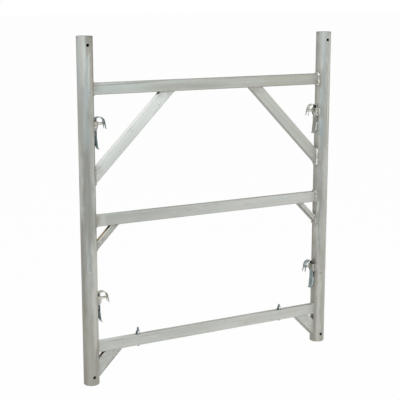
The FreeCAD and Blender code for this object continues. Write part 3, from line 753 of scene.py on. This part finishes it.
def brace_finish(side, dull, clear, shift, streaks):
    """Finish of an upper brace, sooty at both ends."""
    material, shader, place = start_finish("mill_%s_brace" % side, TUBE_METALLIC)
    x, _, z = split(place)
    inward = from_leg(x)
    colour, rough, height = mill_metal(place, dull, clear, ALONG_BRACE[side], shift, streaks)
    top = REACH["upper_brace"][0]
    ends = either(remap(inward, *LOWER_SOOT), fade(z, top, UPPER_SOOT))
    soot = both(ends, remap(grain(place, BRACE_PATCH), *SOOT_PATCHES, 0.05, 0.45))
    colour = lay(colour, SOOT, soot)
    if side == "left":
        colour, rough = left_brace_light_and_shade(shader, place, z, inward, colour, rough)
    rough = plus(rough, both(soot, SOOT_MATT))
    close_finish(shader, colour, rough, height)
    return material


brace_metal = {side: brace_finish(side, *shades) for side, shades in BRACE_SHADES_AND_PAINTED_SHEEN.items()}
print("brace finishes:", [material.name for material in brace_metal.values()])

# %% [markdown]
# ## Bent plate
#
# The brackets, the small braces and the foot gussets are bent plate: the same metal without die lines, so
# their grain is round, and their edges are lightened, as rubbing wear and as a painted highlight. The
# brackets also have soot where they are welded to the leg, and the faces of the web that look sideways
# are browner.

# %% Plate metal and brackets
RUBBED_AND_HIGHLIT_EDGE = (214, 216, 212)
RUBBED_EDGE = 0.0012
BLOTCH = 0.018
PLATE_PIT = 0.0014
WEB_BROWN = (104, 92, 74)
GRIME_PATCH = 0.008
PLATE_PATCHES = (0.4, 0.6)
BRACKET_SOOT = (0.040, 0.032)
BRACKET_SHADES = {
    ("upper", "left"): ((146, 146, 138), (172, 173, 166)),
    ("lower", "left"): ((186, 186, 176), (210, 210, 202)),
    ("upper", "right"): ((174, 174, 166), (202, 202, 195)),
    ("lower", "right"): ((170, 170, 160), (194, 194, 186)),
}


def plate_metal(place, dull, clear, shift=NOT_MOVED):
    """Colour, roughness and height of plain aluminium plate: round blotches, worn edges with a painted
    highlight.
    """
    blotches = grain(place, BLOTCH, shift=shift, detail=5.0, fray=0.6)
    pits = grain(place, PLATE_PIT, detail=2.0)
    colour = tint(remap(blotches, 0.35, 0.65), dull, clear)
    colour = lay(colour, DIE_LINE, remap(pits, 0.62, 0.72, 0.0, 0.35))
    # Edges lightened as rubbing wear and as a painted highlight
    colour = lay(colour, RUBBED_AND_HIGHLIT_EDGE, edges(place, RUBBED_EDGE), remap(blotches, 0.35, 0.6, 0.15, 0.7))
    return colour, vary(blotches, 0.42, 0.56), pits


def bracket_finish(spot, dull, clear, shift):
    """Bracket plate with soot where it is welded to the leg and a browner web."""
    material, shader, place = start_finish("plate_%s_%s_bracket" % spot, TUBE_METALLIC)
    colour, rough, height = plate_metal(place, dull, clear, shift)
    x, _, _ = split(place)
    patchy = remap(grain(place, GRIME_PATCH), *PLATE_PATCHES, 0.1, 0.6)
    colour = lay(colour, SOOT, remap(from_leg(x), *BRACKET_SOOT), patchy)
    # The faces of the web that look sideways are made browner
    web = remap(gap(facing(place, (1.0, 0.0, 0.0))), 0.7, 0.9)
    colour = lay(colour, WEB_BROWN, web, patchy)
    close_finish(shader, colour, rough, height)
    return material


bracket_metal = {}
for index, (spot, shades) in enumerate(BRACKET_SHADES.items()):
    bracket_metal[spot] = bracket_finish(spot, *shades, (0.1 * index, 0.0, 0.0))
print("bracket finishes:", len(bracket_metal))

# %% [markdown]
# ## Channels
#
# The small braces and the gussets are channels whose open side faces the corner of the frame, and brown
# dirt has gathered in them; near the rung it darkens into painted shadow. A point is inside a channel if it
# is between the flanges and on the corner side of the web, and both can be told from its place. The rims of
# the flanges carry a painted highlight, and a line of painted shade runs along the outer bend.

# %% Channel finishes
RIM_PAINTED_HIGHLIGHT = (240, 240, 235)
BEND_PAINTED_SHADE = (104, 90, 70)
ACROSS = (-0.3, 0.3)
DIRT_MATT = 0.25
CHANNEL_PATCH = 0.01
# Distances from the faces and edges of a channel, in metres; for the web in wall thicknesses along the rung
FLANGE_FADE = (0.0004, 0.0)
WEB_FADE = (-1.3, -1.4)
BEND_DEPTH = (-0.004, -0.002)
BEND_REACH = (-0.007, -0.004)
RIM_REACH = (0.005, 0.002)
DEEP_CORNER = (0.032, 0.012)
CORNER_SOOT = (0.016, 0.0)
CHANNELS = {
    "middle_brace": {
        "wall": 0.0032,
        "dull": (164, 165, 159),
        "clear": (186, 188, 183),
        "dirt": (224, 210, 182),
        "under_rung_shadow": (116, 92, 64),
        "soot_share": 0.45,
        "rim_share": 1.0,
    },
    "foot_gusset": {
        "wall": 0.004,
        "dull": (184, 185, 179),
        "clear": (202, 204, 199),
        "dirt": (226, 202, 168),
        "under_rung_shadow": (168, 132, 94),
        "soot_share": 0.15,
        "rim_share": 0.15,
    },
}


def channel_finish(name, wall, dull, clear, dirt, under_rung_shadow, soot_share, rim_share):
    """Channel plate: corner dirt, painted shadow by the rung, painted highlight on rims, painted shade on
    the bend.
    """
    material, shader, place = start_finish("plate_" + name, TUBE_METALLIC)
    colour, rough, height = plate_metal(place, dull, clear)
    x, y, z = split(place)
    top, near, far = REACH[name]
    inward = from_leg(x)
    below = minus(top, z)
    reach = minus(plus(inward, top), z)
    off_middle = gap(y)
    between = fade(off_middle, RUNG_HALF_DEPTH - wall, FLANGE_FADE)
    inside = both(between, fade(reach, far, [share * wall for share in WEB_FADE]))
    # Dirt inside the channel, darkening into painted shadow near the rung
    colour = lay(colour, tint(remap(below, *DEEP_CORNER), dirt, under_rung_shadow), inside, 0.9)
    rough = plus(rough, both(inside, DIRT_MATT))
    patchy = grain(place, CHANNEL_PATCH)
    to_corner = combine("MINIMUM", minus(inward, LEG_RADIUS), below)
    sooty = remap(patchy, *PLATE_PATCHES, 0.05, soot_share)
    colour = lay(colour, SOOT, remap(to_corner, *CORNER_SOOT), sooty)
    outside = minus(1.0, between)
    to_left, to_right = (facing(place, (way, 0.0, DIAGONAL)) for way in (-DIAGONAL, DIAGONAL))
    # Painted highlight on the flange rims
    rim = both(outside, remap(either(to_left, to_right), 0.7, 0.9))
    rim = either(rim, both(outside, fade(reach, near, RIM_REACH, 0.0, 0.7)))
    colour = lay(colour, RIM_PAINTED_HIGHLIGHT, rim, rim_share)
    # Painted shade along the outer bend
    bend = both(fade(off_middle, RUNG_HALF_DEPTH, BEND_DEPTH), fade(reach, far, BEND_REACH))
    line = both(bend, remap(patchy, 0.3, 0.6, 0.5, 1.0))
    colour = lay(colour, BEND_PAINTED_SHADE, line, remap(x, *ACROSS, 0.25, 0.9))
    close_finish(shader, colour, rough, height)
    return material


channel_metal = {name: channel_finish(name, **values) for name, values in CHANNELS.items()}
print("channel finishes:", len(channel_metal))

# %% [markdown]
# ## Zinc plating
#
# Latches, studs, pins, bolts, washers and nuts are zinc plated steel: darker, cooler and shinier than the
# aluminium. The plating weathers in patches and wears off first at the edges, which also carry a painted
# highlight.

# %% Zinc metal
ZINC_METALLIC = 0.85
WORN_AND_HIGHLIT_EDGE = (214, 220, 220)
WORN_EDGE = 0.0008
ZINC_PATCH = (0.007, 0.007, 0.05)
GRIT = 0.0012
GRIT_DEPTH = 0.0002


def zinc_metal(place, dark, light, shift):
    """Colour, roughness and grit of zinc plating with dark and light patches."""
    patches = grain(place, ZINC_PATCH, shift=shift, fray=0.5)
    grit = grain(place, GRIT, detail=2.0)
    colour = tint(remap(patches, 0.36, 0.62), dark, light)
    # Edges lightened as worn plating and as a painted highlight
    colour = lay(colour, WORN_AND_HIGHLIT_EDGE, edges(place, WORN_EDGE), 0.55)
    return colour, vary(patches, 0.22, 0.38), grit


print("zinc edges worn over %.1f mm" % (1000.0 * WORN_EDGE))

# %% [markdown]
# ## The latches
#
# On the hooks a pale film lies over the plating, partly a chalky film and partly a painted reflection, and
# each latch has its own share of it; the plating shades of each latch are partly painted light and shade
# too. The pale stops below the bracket, so the tails stay bare and dark, and the front flange of a tail
# carries painted shading. Inside the heel of a hook, where the strap runs behind the bracket, a nearly
# black painted shadow lies.

# %% Latch finishes
PALE_HOOK_METALLIC = 0.4
PALE_HOOK_PATCH = 0.022
HEEL_PAINTED_SHADOW = (10, 10, 9)
TO_FRONT = (0.0, -1.0, 0.0)
# Heights from the stud, in metres
PALE_HOOK_FADE = (-0.034, -0.016)
TAIL_FADE = (-0.030, -0.040)
HEEL_FADE = (0.009, 0.012)
STRAP_DEPTH = 0.0092
HEEL_DEPTH = (0.016, 0.012)
# Dark and light plating, pale film with painted reflection, painted shading of the front flange, and the
# share of pale; these differ from latch to latch partly as painted light and shade
LATCH_SHADES = {
    ("upper", "left"): ((62, 76, 78), (118, 132, 133), (186, 187, 175), (72, 92, 95), 0.35),
    ("lower", "left"): ((80, 94, 94), (128, 139, 136), (188, 184, 166), (100, 116, 114), 0.8),
    ("upper", "right"): ((116, 114, 104), (146, 145, 137), (230, 230, 226), (166, 176, 181), 0.6),
    ("lower", "right"): ((100, 113, 114), (142, 153, 153), (222, 227, 226), (178, 191, 192), 0.4),
}


def latch_finish(spot, dark, light, pale_hook, front_painted_shading, share):
    """Latch: pale film and painted reflection on the hook, painted shading on the flange, painted heel
    shadow.
    """
    material, shader, place = start_finish("zinc_%s_%s_latch" % spot, ZINC_METALLIC)
    stud = STUD_LEVEL[spot]
    shift = (stud, 0.0, 0.0)
    colour, rough, grit = zinc_metal(place, dark, light, shift)
    x, _, z = split(place)
    # Pale film on the hook, partly a painted reflection
    upper = fade(z, stud, PALE_HOOK_FADE)
    spread = grain(place, PALE_HOOK_PATCH, shift=shift)
    pale_hook_cover = both(upper, remap(spread, 0.75 - 0.6 * share, 1.0 - 0.6 * share, 0.0, 0.92))
    colour = lay(colour, pale_hook, pale_hook_cover)
    # Painted shading on the tail's front flange
    tail = fade(z, stud, TAIL_FADE, 0.0, 0.8)
    colour = lay(colour, front_painted_shading, remap(facing(place, TO_FRONT), 0.7, 0.9), tail)
    low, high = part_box("%s_%s_latch" % spot)
    strap = LEG_OFFSET - max(abs(low.x), abs(high.x)) + STRAP_DEPTH
    # Painted shadow in the heel
    heel = both(fade(from_leg(x), strap, HEEL_DEPTH), fade(z, stud, HEEL_FADE))
    inner_side = facing(place, (0.8 * SIDES[spot[1]], 0.0, -0.6))
    heel_shadow = both(heel, remap(inner_side, 0.2, 0.6))
    colour = lay(colour, HEEL_PAINTED_SHADOW, heel_shadow, 0.95)
    plug(shader.inputs["Metallic"], remap(pale_hook_cover, 0.0, 1.0, ZINC_METALLIC, PALE_HOOK_METALLIC))
    rough = plus(rough, both(either(pale_hook_cover, heel_shadow), 0.2))
    close_finish(shader, colour, rough, grit, GRIT_DEPTH)
    return material


latch_metal = {spot: latch_finish(spot, *shades) for spot, shades in LATCH_SHADES.items()}
print("latch finishes:", len(latch_metal))

# %% [markdown]
# ## Zinc plated fasteners
#
# The small pieces have the same plating without the film. Studs and pins are paler, the washers are dark
# and brown as painted shade, and the flats of the nuts that face right carry a painted highlight.

# %% Fastener finishes
FASTENER_SHIFT = (0.4, 0.2, 0.1)
FLATS_PAINTED_HIGHLIGHT = (230, 236, 238)
FLATS_HEADING = 5.0
FLATS_SIDES = (40.0, 28.0)
# Dark and light plating, and the share of painted highlight on the flats
FASTENER_SHADES = {
    "fastener": ((88, 102, 105), (152, 163, 166), 0.0),
    "stud": ((170, 170, 158), (206, 205, 194), 0.0),
    # The washers' dark brown is painted shade
    "washer": ((66, 61, 54), (122, 116, 105), 0.0),
    "pin": ((142, 140, 130), (182, 181, 172), 0.0),
    "nut": ((76, 88, 91), (134, 146, 149), 0.8),
}


def fastener_finish(kind, dark, light, flats):
    """Small zinc plated piece, with a share of painted highlight on the flats that face right."""
    material, shader, place = start_finish("zinc_" + kind, ZINC_METALLIC)
    colour, rough, grit = zinc_metal(place, dark, light, FASTENER_SHIFT)
    if flats:
        # Painted highlight on the flats that face right
        off = gap(heading(place), FLATS_HEADING)
        colour = lay(colour, FLATS_PAINTED_HIGHLIGHT, remap(off, *FLATS_SIDES, 0.0, flats))
    close_finish(shader, colour, rough, grit, GRIT_DEPTH)
    return material


fastener_metal = {kind: fastener_finish(kind, *shades) for kind, shades in FASTENER_SHADES.items()}
print("fastener finishes:", len(fastener_metal))

# %% [markdown]
# ## Dressing the CAD nodes
#
# Each node gets one finish by what it is, which its name says. The nodes keep their own meshes: only the
# material slot changes.

# %% Dress the nodes
def finish_of(name):
    """Finish of a CAD node, from its name."""
    first, *middle, kind = name.split("_")
    if kind == "leg":
        return leg_metal[first]
    if kind == "rung":
        return rung_metal[first]
    if name.endswith("upper_brace"):
        return brace_metal[first]
    if kind in ("brace", "gusset"):
        return channel_metal["_".join((*middle, kind))]
    if kind == "bracket":
        return bracket_metal[first, middle[0]]
    if kind == "latch":
        return latch_metal[first, middle[0]]
    return fastener_metal.get(kind, fastener_metal["fastener"])


for name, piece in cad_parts.items():
    piece.data.materials.clear()
    piece.data.materials.append(finish_of(name))
print("dressed", len(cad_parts), "nodes")

# %% [markdown]
# ## Where the welds run
#
# Every joint of the frame is a fillet weld. The beads could be sculpted, but they follow known lines:
# round each rung end and brace end, along the web and flanges of each channel, and up each edge of a
# bracket that meets the leg. So the lines are worked out first, from the measures taken above.

# %% Helpers for weld lines
ARC_STEPS = 6


def leg_reach(y):
    """How far the leg's surface stands out from its axis, at a distance off the frame's middle plane."""
    return math.sqrt(LEG_RADIUS ** 2 - y ** 2)


def in_frame(side, inward, y, z):
    """Point at a distance inward from a leg axis."""
    return Vector((LEG_AXIS[side] + SIDES[side] * inward, y, z))


def ring_at_leg(side, lower, upper):
    """Closed line round a piece's end on a leg, between the edges that lower and upper give at a reach."""
    across = [RUNG_HALF_DEPTH * (2.0 * step / ARC_STEPS - 1.0) for step in range(ARC_STEPS + 1)]
    under = [in_frame(side, leg_reach(y), y, lower(leg_reach(y))) for y in across]
    over = [in_frame(side, leg_reach(y), y, upper(leg_reach(y))) for y in reversed(across)]
    return under + over


def ring_at_rung(side, near, far, z):
    """Closed line round a piece's end under a rung, between two distances from the leg axis."""
    half = RUNG_HALF_DEPTH
    corners = [(near, -half), (far, -half), (far, half), (near, half)]
    return [in_frame(side, inward, y, z) for inward, y in corners]


print("points on a ring at a leg:", 2 * (ARC_STEPS + 1))

# %% [markdown]
# ## How thick the welds are
#
# The beads on the right leg are full and those on the left softer. At the feet they are dressed down, and
# under the rungs they lie almost flush. The beads of a bracket stand a little off its cheeks, to leave
# the latch room to slide.

# %% Weld lines
FULL_BEAD = 0.0066
SOFT_BEAD = 0.0048
DRESSED_BEAD = 0.003
FLUSH_BEAD = 0.0022
BRACKET_BEAD = {"left": 0.0042, "right": 0.0054}
STAND_OFF = 0.0018
BEAD_END = 0.005


def bead_size(name, side):
    """Radius of the bead at a leg: dressed down at the feet, full on the right and softer on the left."""
    if name in ("bottom", "foot_gusset"):
        return DRESSED_BEAD
    return FULL_BEAD if side == "right" else SOFT_BEAD


welds = []
for side in SIDES:
    for name, (low, high) in RUNG_BOX.items():
        at_leg = ring_at_leg(side, lambda reach: low.z, lambda reach: high.z)
        welds.append((at_leg, True, bead_size(name, side)))
    for name, (top, near, far) in REACH.items():
        closed = name == "upper_brace"
        at_leg = ring_at_leg(side, lambda reach: top - far + reach, lambda reach: top - near + reach)
        if not closed:
            at_leg = at_leg[-1:] + at_leg[:ARC_STEPS + 2]
        welds.append((at_leg, closed, bead_size(name, side)))
        welds.append((ring_at_rung(side, near, far, top), closed, FLUSH_BEAD))
    for level in LEVELS:
        low, high = BRACKET_BOX[level, side]
        heights = (low.z, low.z + BEAD_END, high.z - BEAD_END, high.z)
        for y in (low.y - STAND_OFF, high.y + STAND_OFF):
            welds.append(([in_frame(side, leg_reach(y), y, z) for z in heights], False, BRACKET_BEAD[side]))
print("weld lines:", len(welds))

# %% [markdown]
# ## Weld metal
#
# A fresh bead is bright, lightened further in dabs as painted glints, an old or dressed one is as dull as
# the tube, and the grooves between the ripples are darkened brown, as soot and as painted shade. One
# material does for all, because the Geometry Nodes tree below stores two values on the mesh for it: the
# ripple says where the grooves are, and the thickness tells full beads from thin.

# %% Weld finish
WELD_METALLIC = 0.7
WELD_BUMP = 0.25
FROST = 0.003
DAB = 0.008
FRESH_WELD_AND_GLINTS = (184, 182, 174), (232, 232, 227)
DULL_WELD = (152, 150, 142), (182, 181, 174)
CLEAN_WELD = (190, 190, 184)
WELD_SOOT_AND_GROOVE_SHADE = (98, 87, 70)
FACE_DEPTH = (-0.006, -0.002)
FRESH_ABOVE = (0.79, 0.86)


def kept_value(place, name):
    """Value that a Geometry Nodes tree stored on the mesh."""
    return add(place.id_data, "ShaderNodeAttribute", output="Fac", attribute_name=name)


def weld_finish():
    """Weld metal: fresh with painted glints on full beads, dull on the others, soot and painted shade in
    grooves.
    """
    material, shader, place = start_finish("weld_metal", WELD_METALLIC)
    frost = grain(place, FROST)
    dabs = grain(place, DAB, detail=2.0)
    x, y, z = split(place)
    thick = remap(kept_value(place, "thickness"), DRESSED_BEAD, FULL_BEAD)
    on_face = fade(gap(y), RUNG_HALF_DEPTH, FACE_DEPTH, 0.15, 1.0)
    fresh = both(both(thick, on_face), remap(x, *ACROSS, 0.3, 1.0))
    fresh = both(fresh, remap(z, *FRESH_ABOVE, 0.35, 1.0))
    clean = remap(z, CLEAN_FEET[1], CLEAN_FEET[0])
    # Fresh metal, lightened in dabs as painted glints
    glinting = tint(remap(dabs, 0.45, 0.58), *FRESH_WELD_AND_GLINTS)
    dull = tint(remap(frost, 0.35, 0.65), *DULL_WELD)
    dull = lay(dull, CLEAN_WELD, clean)
    colour = tint(fresh, dull, glinting)
    # Grooves darkened as soot and as painted shade
    grooves = remap(kept_value(place, "ripple"), 0.5, 0.0)
    sooty = plus(remap(dabs, 0.55, 0.4, 0.1, 0.8), remap(x, *ACROSS, 0.45, 0.0))
    most = remap(clean, 0.0, 1.0, 1.0, 0.15)
    soot = combine("MINIMUM", both(grooves, sooty), most)
    colour = lay(colour, WELD_SOOT_AND_GROOVE_SHADE, soot)
    rough = plus(remap(fresh, 0.0, 1.0, 0.5, 0.42), both(soot, 0.3))
    close_finish(shader, colour, rough, frost, strength=WELD_BUMP)
    return material


weld_metal = weld_finish()
print("finishes:", len(bpy.data.materials))

# %% [markdown]
# ## Growing a piece on lines
#
# Welds and threads both follow lines, so both are made the same way: a curve object holds the lines, and
# a Geometry Nodes tree turns them into a solid. A tree has named inputs for its sizes and its finish. It
# ends by making instances real and setting the finish.

# %% Helpers that build a tree
def start_tree(name, sizes):
    """New Geometry Nodes tree with named inputs for its lines, sizes and finish, and those inputs."""
    tree = bpy.data.node_groups.new(name, "GeometryNodeTree")
    tree.interface.new_socket("Geometry", in_out="OUTPUT", socket_type="NodeSocketGeometry")
    kinds = {"Geometry": "NodeSocketGeometry", "Finish": "NodeSocketMaterial"}
    for socket in ("Geometry", *sizes, "Finish"):
        kind = kinds.get(socket, "NodeSocketFloat")
        tree.interface.new_socket(socket, in_out="INPUT", socket_type=kind)
    return tree, tree.nodes.new("NodeGroupInput").outputs


def sweep(curve, profile, **inputs):
    """Mesh of a profile swept along a curve, with closed ends."""
    inputs = {"Curve": curve, "Profile Curve": profile, "Fill Caps": True, **inputs}
    return add(curve.id_data, "GeometryNodeCurveToMesh", inputs)


def close_tree(mesh, finish):
    """Make instances real, give the mesh its finish and hand it out of the tree."""
    tree = mesh.id_data
    real = add(tree, "GeometryNodeRealizeInstances", {"Geometry": mesh})
    dressed = add(tree, "GeometryNodeSetMaterial", {"Geometry": real, "Material": finish})
    plug(tree.nodes.new("NodeGroupOutput").inputs["Geometry"], dressed)


print("tree helpers ready")

# %% [markdown]
# ## From lines to a mesh
#
# The result of a tree could stay a modifier, to be changed later. Here it is kept as a plain mesh, which
# any program can read, and the curve and its modifier are thrown away. The modifier knows an input only
# by its identifier, so `grow` looks that up from the name.

# %% Helpers that run a tree
def line_curve(name, lines):
    """Curve object with one straight-sided line for each (points, closed, radius); open ends taper."""
    curve = bpy.data.curves.new(name, "CURVE")
    curve.dimensions = "3D"
    for points, closed, radius in lines:
        spline = curve.splines.new("POLY")
        spline.points.add(len(points) - 1)
        for slot, point in zip(spline.points, points):
            slot.co = (*point, 1.0)
            slot.radius = radius
        spline.use_cyclic_u = closed
        if not closed:
            spline.points[0].radius = radius / 2
            spline.points[-1].radius = radius / 2
    made = bpy.data.objects.new(name, curve)
    scene.collection.objects.link(made)
    return made


def grow(host, tree, values, name):
    """Run a Geometry Nodes tree on a host and keep the result as a plain mesh on its own."""
    modifier = host.modifiers.new(tree.name, "NODES")
    modifier.node_group = tree
    for socket in tree.interface.items_tree:
        if socket.in_out == "INPUT" and socket.name in values:
            modifier[socket.identifier] = values[socket.name]
    evaluated = host.evaluated_get(bpy.context.evaluated_depsgraph_get())
    mesh = bpy.data.meshes.new_from_object(evaluated)
    mesh.name = name
    bpy.data.objects.remove(host)
    piece = bpy.data.objects.new(name, mesh)
    scene.collection.objects.link(piece)
    return piece


print("curve and mesh helpers ready")

# %% [markdown]
# ## Weld beads
#
# A bead is a rope of metal with one ripple for each dab of the torch and slow lumps where the welder's
# hand paused. The tree rounds the corners of each line, walks along it in short steps, lets it wander a
# little, and sweeps a circle whose size swells and sinks with the distance travelled.

# %% Weld beads
LUMP_GRAIN = 100.0
BEAD_SIDES = 10
CORNER_STEPS = 3


def keep_value(curve, name, value):
    """Store a value on the points of a curve, for the finish to read."""
    inputs = {"Geometry": curve, "Name": name, "Value": value}
    return add(curve.id_data, "GeometryNodeStoreNamedAttribute", inputs, data_type="FLOAT", domain="POINT")


def bead_tree():
    """Sweep a rippled bead along every line of a curve, as thick as the line's radius."""
    tree, given = start_tree("weld_bead", ("Corner", "Step", "Pitch", "Groove", "Lump", "Wander"))
    inputs = {"Curve": given["Geometry"], "Radius": given["Corner"]}
    inputs.update({"Count": CORNER_STEPS, "Limit Radius": True})
    rounded = add(tree, "GeometryNodeFilletCurve", inputs, mode="POLY")
    inputs = {"Curve": rounded, "Length": given["Step"]}
    steps = add(tree, "GeometryNodeResampleCurve", inputs, mode="LENGTH")
    noise = add(tree, "ShaderNodeTexNoise", {"Scale": LUMP_GRAIN, "Detail": 1.0}).node.outputs
    sway = add(tree, "ShaderNodeVectorMath", {0: noise["Color"], 1: (0.5, 0.5, 0.5)}, operation="SUBTRACT")
    drift = add(tree, "ShaderNodeVectorMath", {0: sway, "Scale": given["Wander"]}, operation="SCALE")
    travelled = add(tree, "GeometryNodeSplineParameter", output="Length")
    dabs = combine("DIVIDE", travelled, given["Pitch"])
    phase = combine("FRACT", plus(dabs, combine("MULTIPLY", noise["Fac"], 2.0)))
    centred = minus(combine("MULTIPLY", phase, 2.0), 1.0)
    crest = minus(1.0, both(centred, centred))
    sunk = both(minus(1.0, crest), given["Groove"])
    swell = both(minus(noise["Fac"], 0.5), given["Lump"])
    share = plus(minus(1.0, sunk), swell)
    thickness = add(tree, "GeometryNodeInputRadius")
    curve = keep_value(steps, "ripple", crest)
    curve = keep_value(curve, "thickness", thickness)
    moved = add(tree, "GeometryNodeSetPosition", {"Geometry": curve, "Offset": drift})
    ring = add(tree, "GeometryNodeCurvePrimitiveCircle", {"Resolution": BEAD_SIDES, "Radius": 1.0})
    swept = sweep(moved, ring, Scale=combine("MULTIPLY", thickness, share))
    close_tree(add(tree, "GeometryNodeSetShadeSmooth", {"Geometry": swept}), given["Finish"])
    return tree


weld_values = {
    "Corner": 0.004,
    "Step": 0.0009,
    "Pitch": 0.0034,
    "Groove": 0.12,
    "Lump": 0.95,
    "Wander": 0.0024,
    "Finish": weld_metal,
}
weld_beads = grow(line_curve("weld_lines", welds), bead_tree(), weld_values, "weld_beads")
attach(weld_beads, "frame")
print("weld beads:", len(weld_beads.data.polygons), "faces")

# %% [markdown]
# ## Screw threads
#
# The two bolts through the bottom rung stick out above their nuts, and that end shows its thread. A
# thread is a helix, so the tree winds each bolt's axis line into one and sweeps a small ridge along it.

# %% Bolt threads
STEPS_A_TURN = 16
RIDGE_SIDES = 4
THREAD_END = 0.0012


def thread_tree():
    """Wind every line of a curve into a helix and sweep a ridge along it."""
    tree, given = start_tree("thread_ridges", ("Pitch", "Radius", "Ridge"))
    inputs = {"Curve": given["Geometry"], "Length": combine("DIVIDE", given["Pitch"], STEPS_A_TURN)}
    steps = add(tree, "GeometryNodeResampleCurve", inputs, mode="LENGTH")
    travelled = add(tree, "GeometryNodeSplineParameter", output="Length")
    turns = combine("DIVIDE", travelled, given["Pitch"])
    angle = combine("MULTIPLY", turns, 2.0 * math.pi)
    inputs = {"X": combine("COSINE", angle), "Y": combine("SINE", angle)}
    outward = add(tree, "ShaderNodeCombineXYZ", inputs)
    offset = add(tree, "ShaderNodeVectorMath", {0: outward, "Scale": given["Radius"]}, operation="SCALE")
    wound = add(tree, "GeometryNodeSetPosition", {"Geometry": steps, "Offset": offset})
    inputs = {"Resolution": RIDGE_SIDES, "Radius": given["Ridge"]}
    ridge = add(tree, "GeometryNodeCurvePrimitiveCircle", inputs)
    close_tree(sweep(wound, ridge), given["Finish"])
    return tree


bolt_axes = []
for side in SIDES:
    low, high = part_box(side + "_bolt")
    x, y, _ = (low + high) / 2
    nut_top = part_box(side + "_nut")[1].z
    bolt_axes.append(([(x, y, nut_top), (x, y, high.z - THREAD_END)], False, 1.0))
thread_values = {"Pitch": 0.0016, "Radius": 0.00475, "Ridge": 0.0005, "Finish": fastener_metal["fastener"]}
bolt_threads = grow(line_curve("bolt_axes", bolt_axes), thread_tree(), thread_values, "bolt_threads")
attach(bolt_threads, "frame")
print("thread faces:", len(bolt_threads.data.polygons))

# %% [markdown]
# ## White floor
#
# The photograph shows the frame against plain white. A white floor and a white world give that, and both
# stay white for glossy rays too, so that the metal mirrors a white room.

# %% White floor
FLOOR_REACH = 120.0
FLOOR_COLOUR = (0.86, 0.86, 0.86, 1.0)
FLOOR_GLOW = 0.975


def seen_white(tree):
    """1 for rays that should find plain white: from the camera, from a mirror or through glass."""
    rays = tree.nodes.new("ShaderNodeLightPath").outputs
    seen = either(rays["Is Camera Ray"], rays["Is Glossy Ray"])
    return either(seen, rays["Is Transmission Ray"])


def studio_floor():
    """Wide white floor that keeps a faint shadow."""
    mesh = bpy.data.meshes.new("floor")
    corners = [(-1, -1), (1, -1), (1, 1), (-1, 1)]
    mesh.from_pydata([(FLOOR_REACH * x, FLOOR_REACH * y, 0.0) for x, y in corners], [], [(0, 1, 2, 3)])
    floor = bpy.data.objects.new("floor", mesh)
    scene.collection.objects.link(floor)
    material = bpy.data.materials.new("floor_white")
    material.use_nodes = True
    tree = material.node_tree
    tree.nodes.clear()
    shaded = add(tree, "ShaderNodeBsdfDiffuse", {"Color": FLOOR_COLOUR})
    glow = add(tree, "ShaderNodeEmission")
    share = both(seen_white(tree), FLOOR_GLOW)
    mix = add(tree, "ShaderNodeMixShader", {"Fac": share, 1: shaded, 2: glow})
    plug(tree.nodes.new("ShaderNodeOutputMaterial").inputs["Surface"], mix)
    mesh.materials.append(material)


studio_floor()
print("floor reaches %.0f m" % FLOOR_REACH)

# %% [markdown]
# ## White world
#
# To the camera and in mirrors the world is full white. As a light it is softer, so that the lamps can
# still model the round legs. The Standard view shows colours as they are, so white stays white.

# %% White world
ROOM_LIGHT = 0.45


def studio_world():
    """White room: full white to the camera and to glossy rays, softer as a light."""
    world = bpy.data.worlds.new("studio")
    scene.world = world
    world.use_nodes = True
    tree = world.node_tree
    background = tree.nodes["Background"]
    background.inputs["Color"].default_value = (1.0, 1.0, 1.0, 1.0)
    plug(background.inputs["Strength"], remap(seen_white(tree), 0.0, 1.0, ROOM_LIGHT, 1.0))


studio_world()
scene.view_settings.view_transform = "Standard"
print("world lights at %.2f" % ROOM_LIGHT)

# %% [markdown]
# ## Lamps
#
# Four lamps model the round legs: a cool main one high beside the camera, two warm low ones on the right
# that lighten the right edges, and one behind on the left for the upper sides of the braces. They are
# small enough to glint on welds and zinc.

# %% Lamps
LAMP_TARGET = Vector((0.0, 0.0, 0.75))
LAMP_DISTANCE = 4.0
# Bearing (0 is in front, 90 right) and height in degrees, size in metres, power in watts, colour
LAMPS = {
    "key_left": (-30.0, 35.0, 1.0, 46.0, (0.93, 1.0, 1.0)),
    "low_right": (30.0, 5.0, 0.9, 14.0, (1.0, 0.98, 0.94)),
    "side_right": (75.0, 5.0, 0.9, 20.0, (1.0, 0.985, 0.95)),
    "behind_left": (-150.0, 45.0, 1.0, 12.0, (1.0, 0.99, 0.97)),
}


def soft_lamp(name, bearing, height, size, power, colour):
    """Square lamp aimed at the frame's middle."""
    around, up = math.radians(bearing), math.radians(height)
    way = Vector((math.cos(up) * math.sin(around), -math.cos(up) * math.cos(around), math.sin(up)))
    data = bpy.data.lights.new(name, "AREA")
    data.size = size
    data.energy = power
    data.color = colour
    lamp = bpy.data.objects.new(name, data)
    lamp.location = LAMP_TARGET + LAMP_DISTANCE * way
    lamp.rotation_euler = (-way).to_track_quat("-Z", "Y").to_euler()
    scene.collection.objects.link(lamp)


for name, values in LAMPS.items():
    soft_lamp(name, *values)
print("lamps:", len(LAMPS))
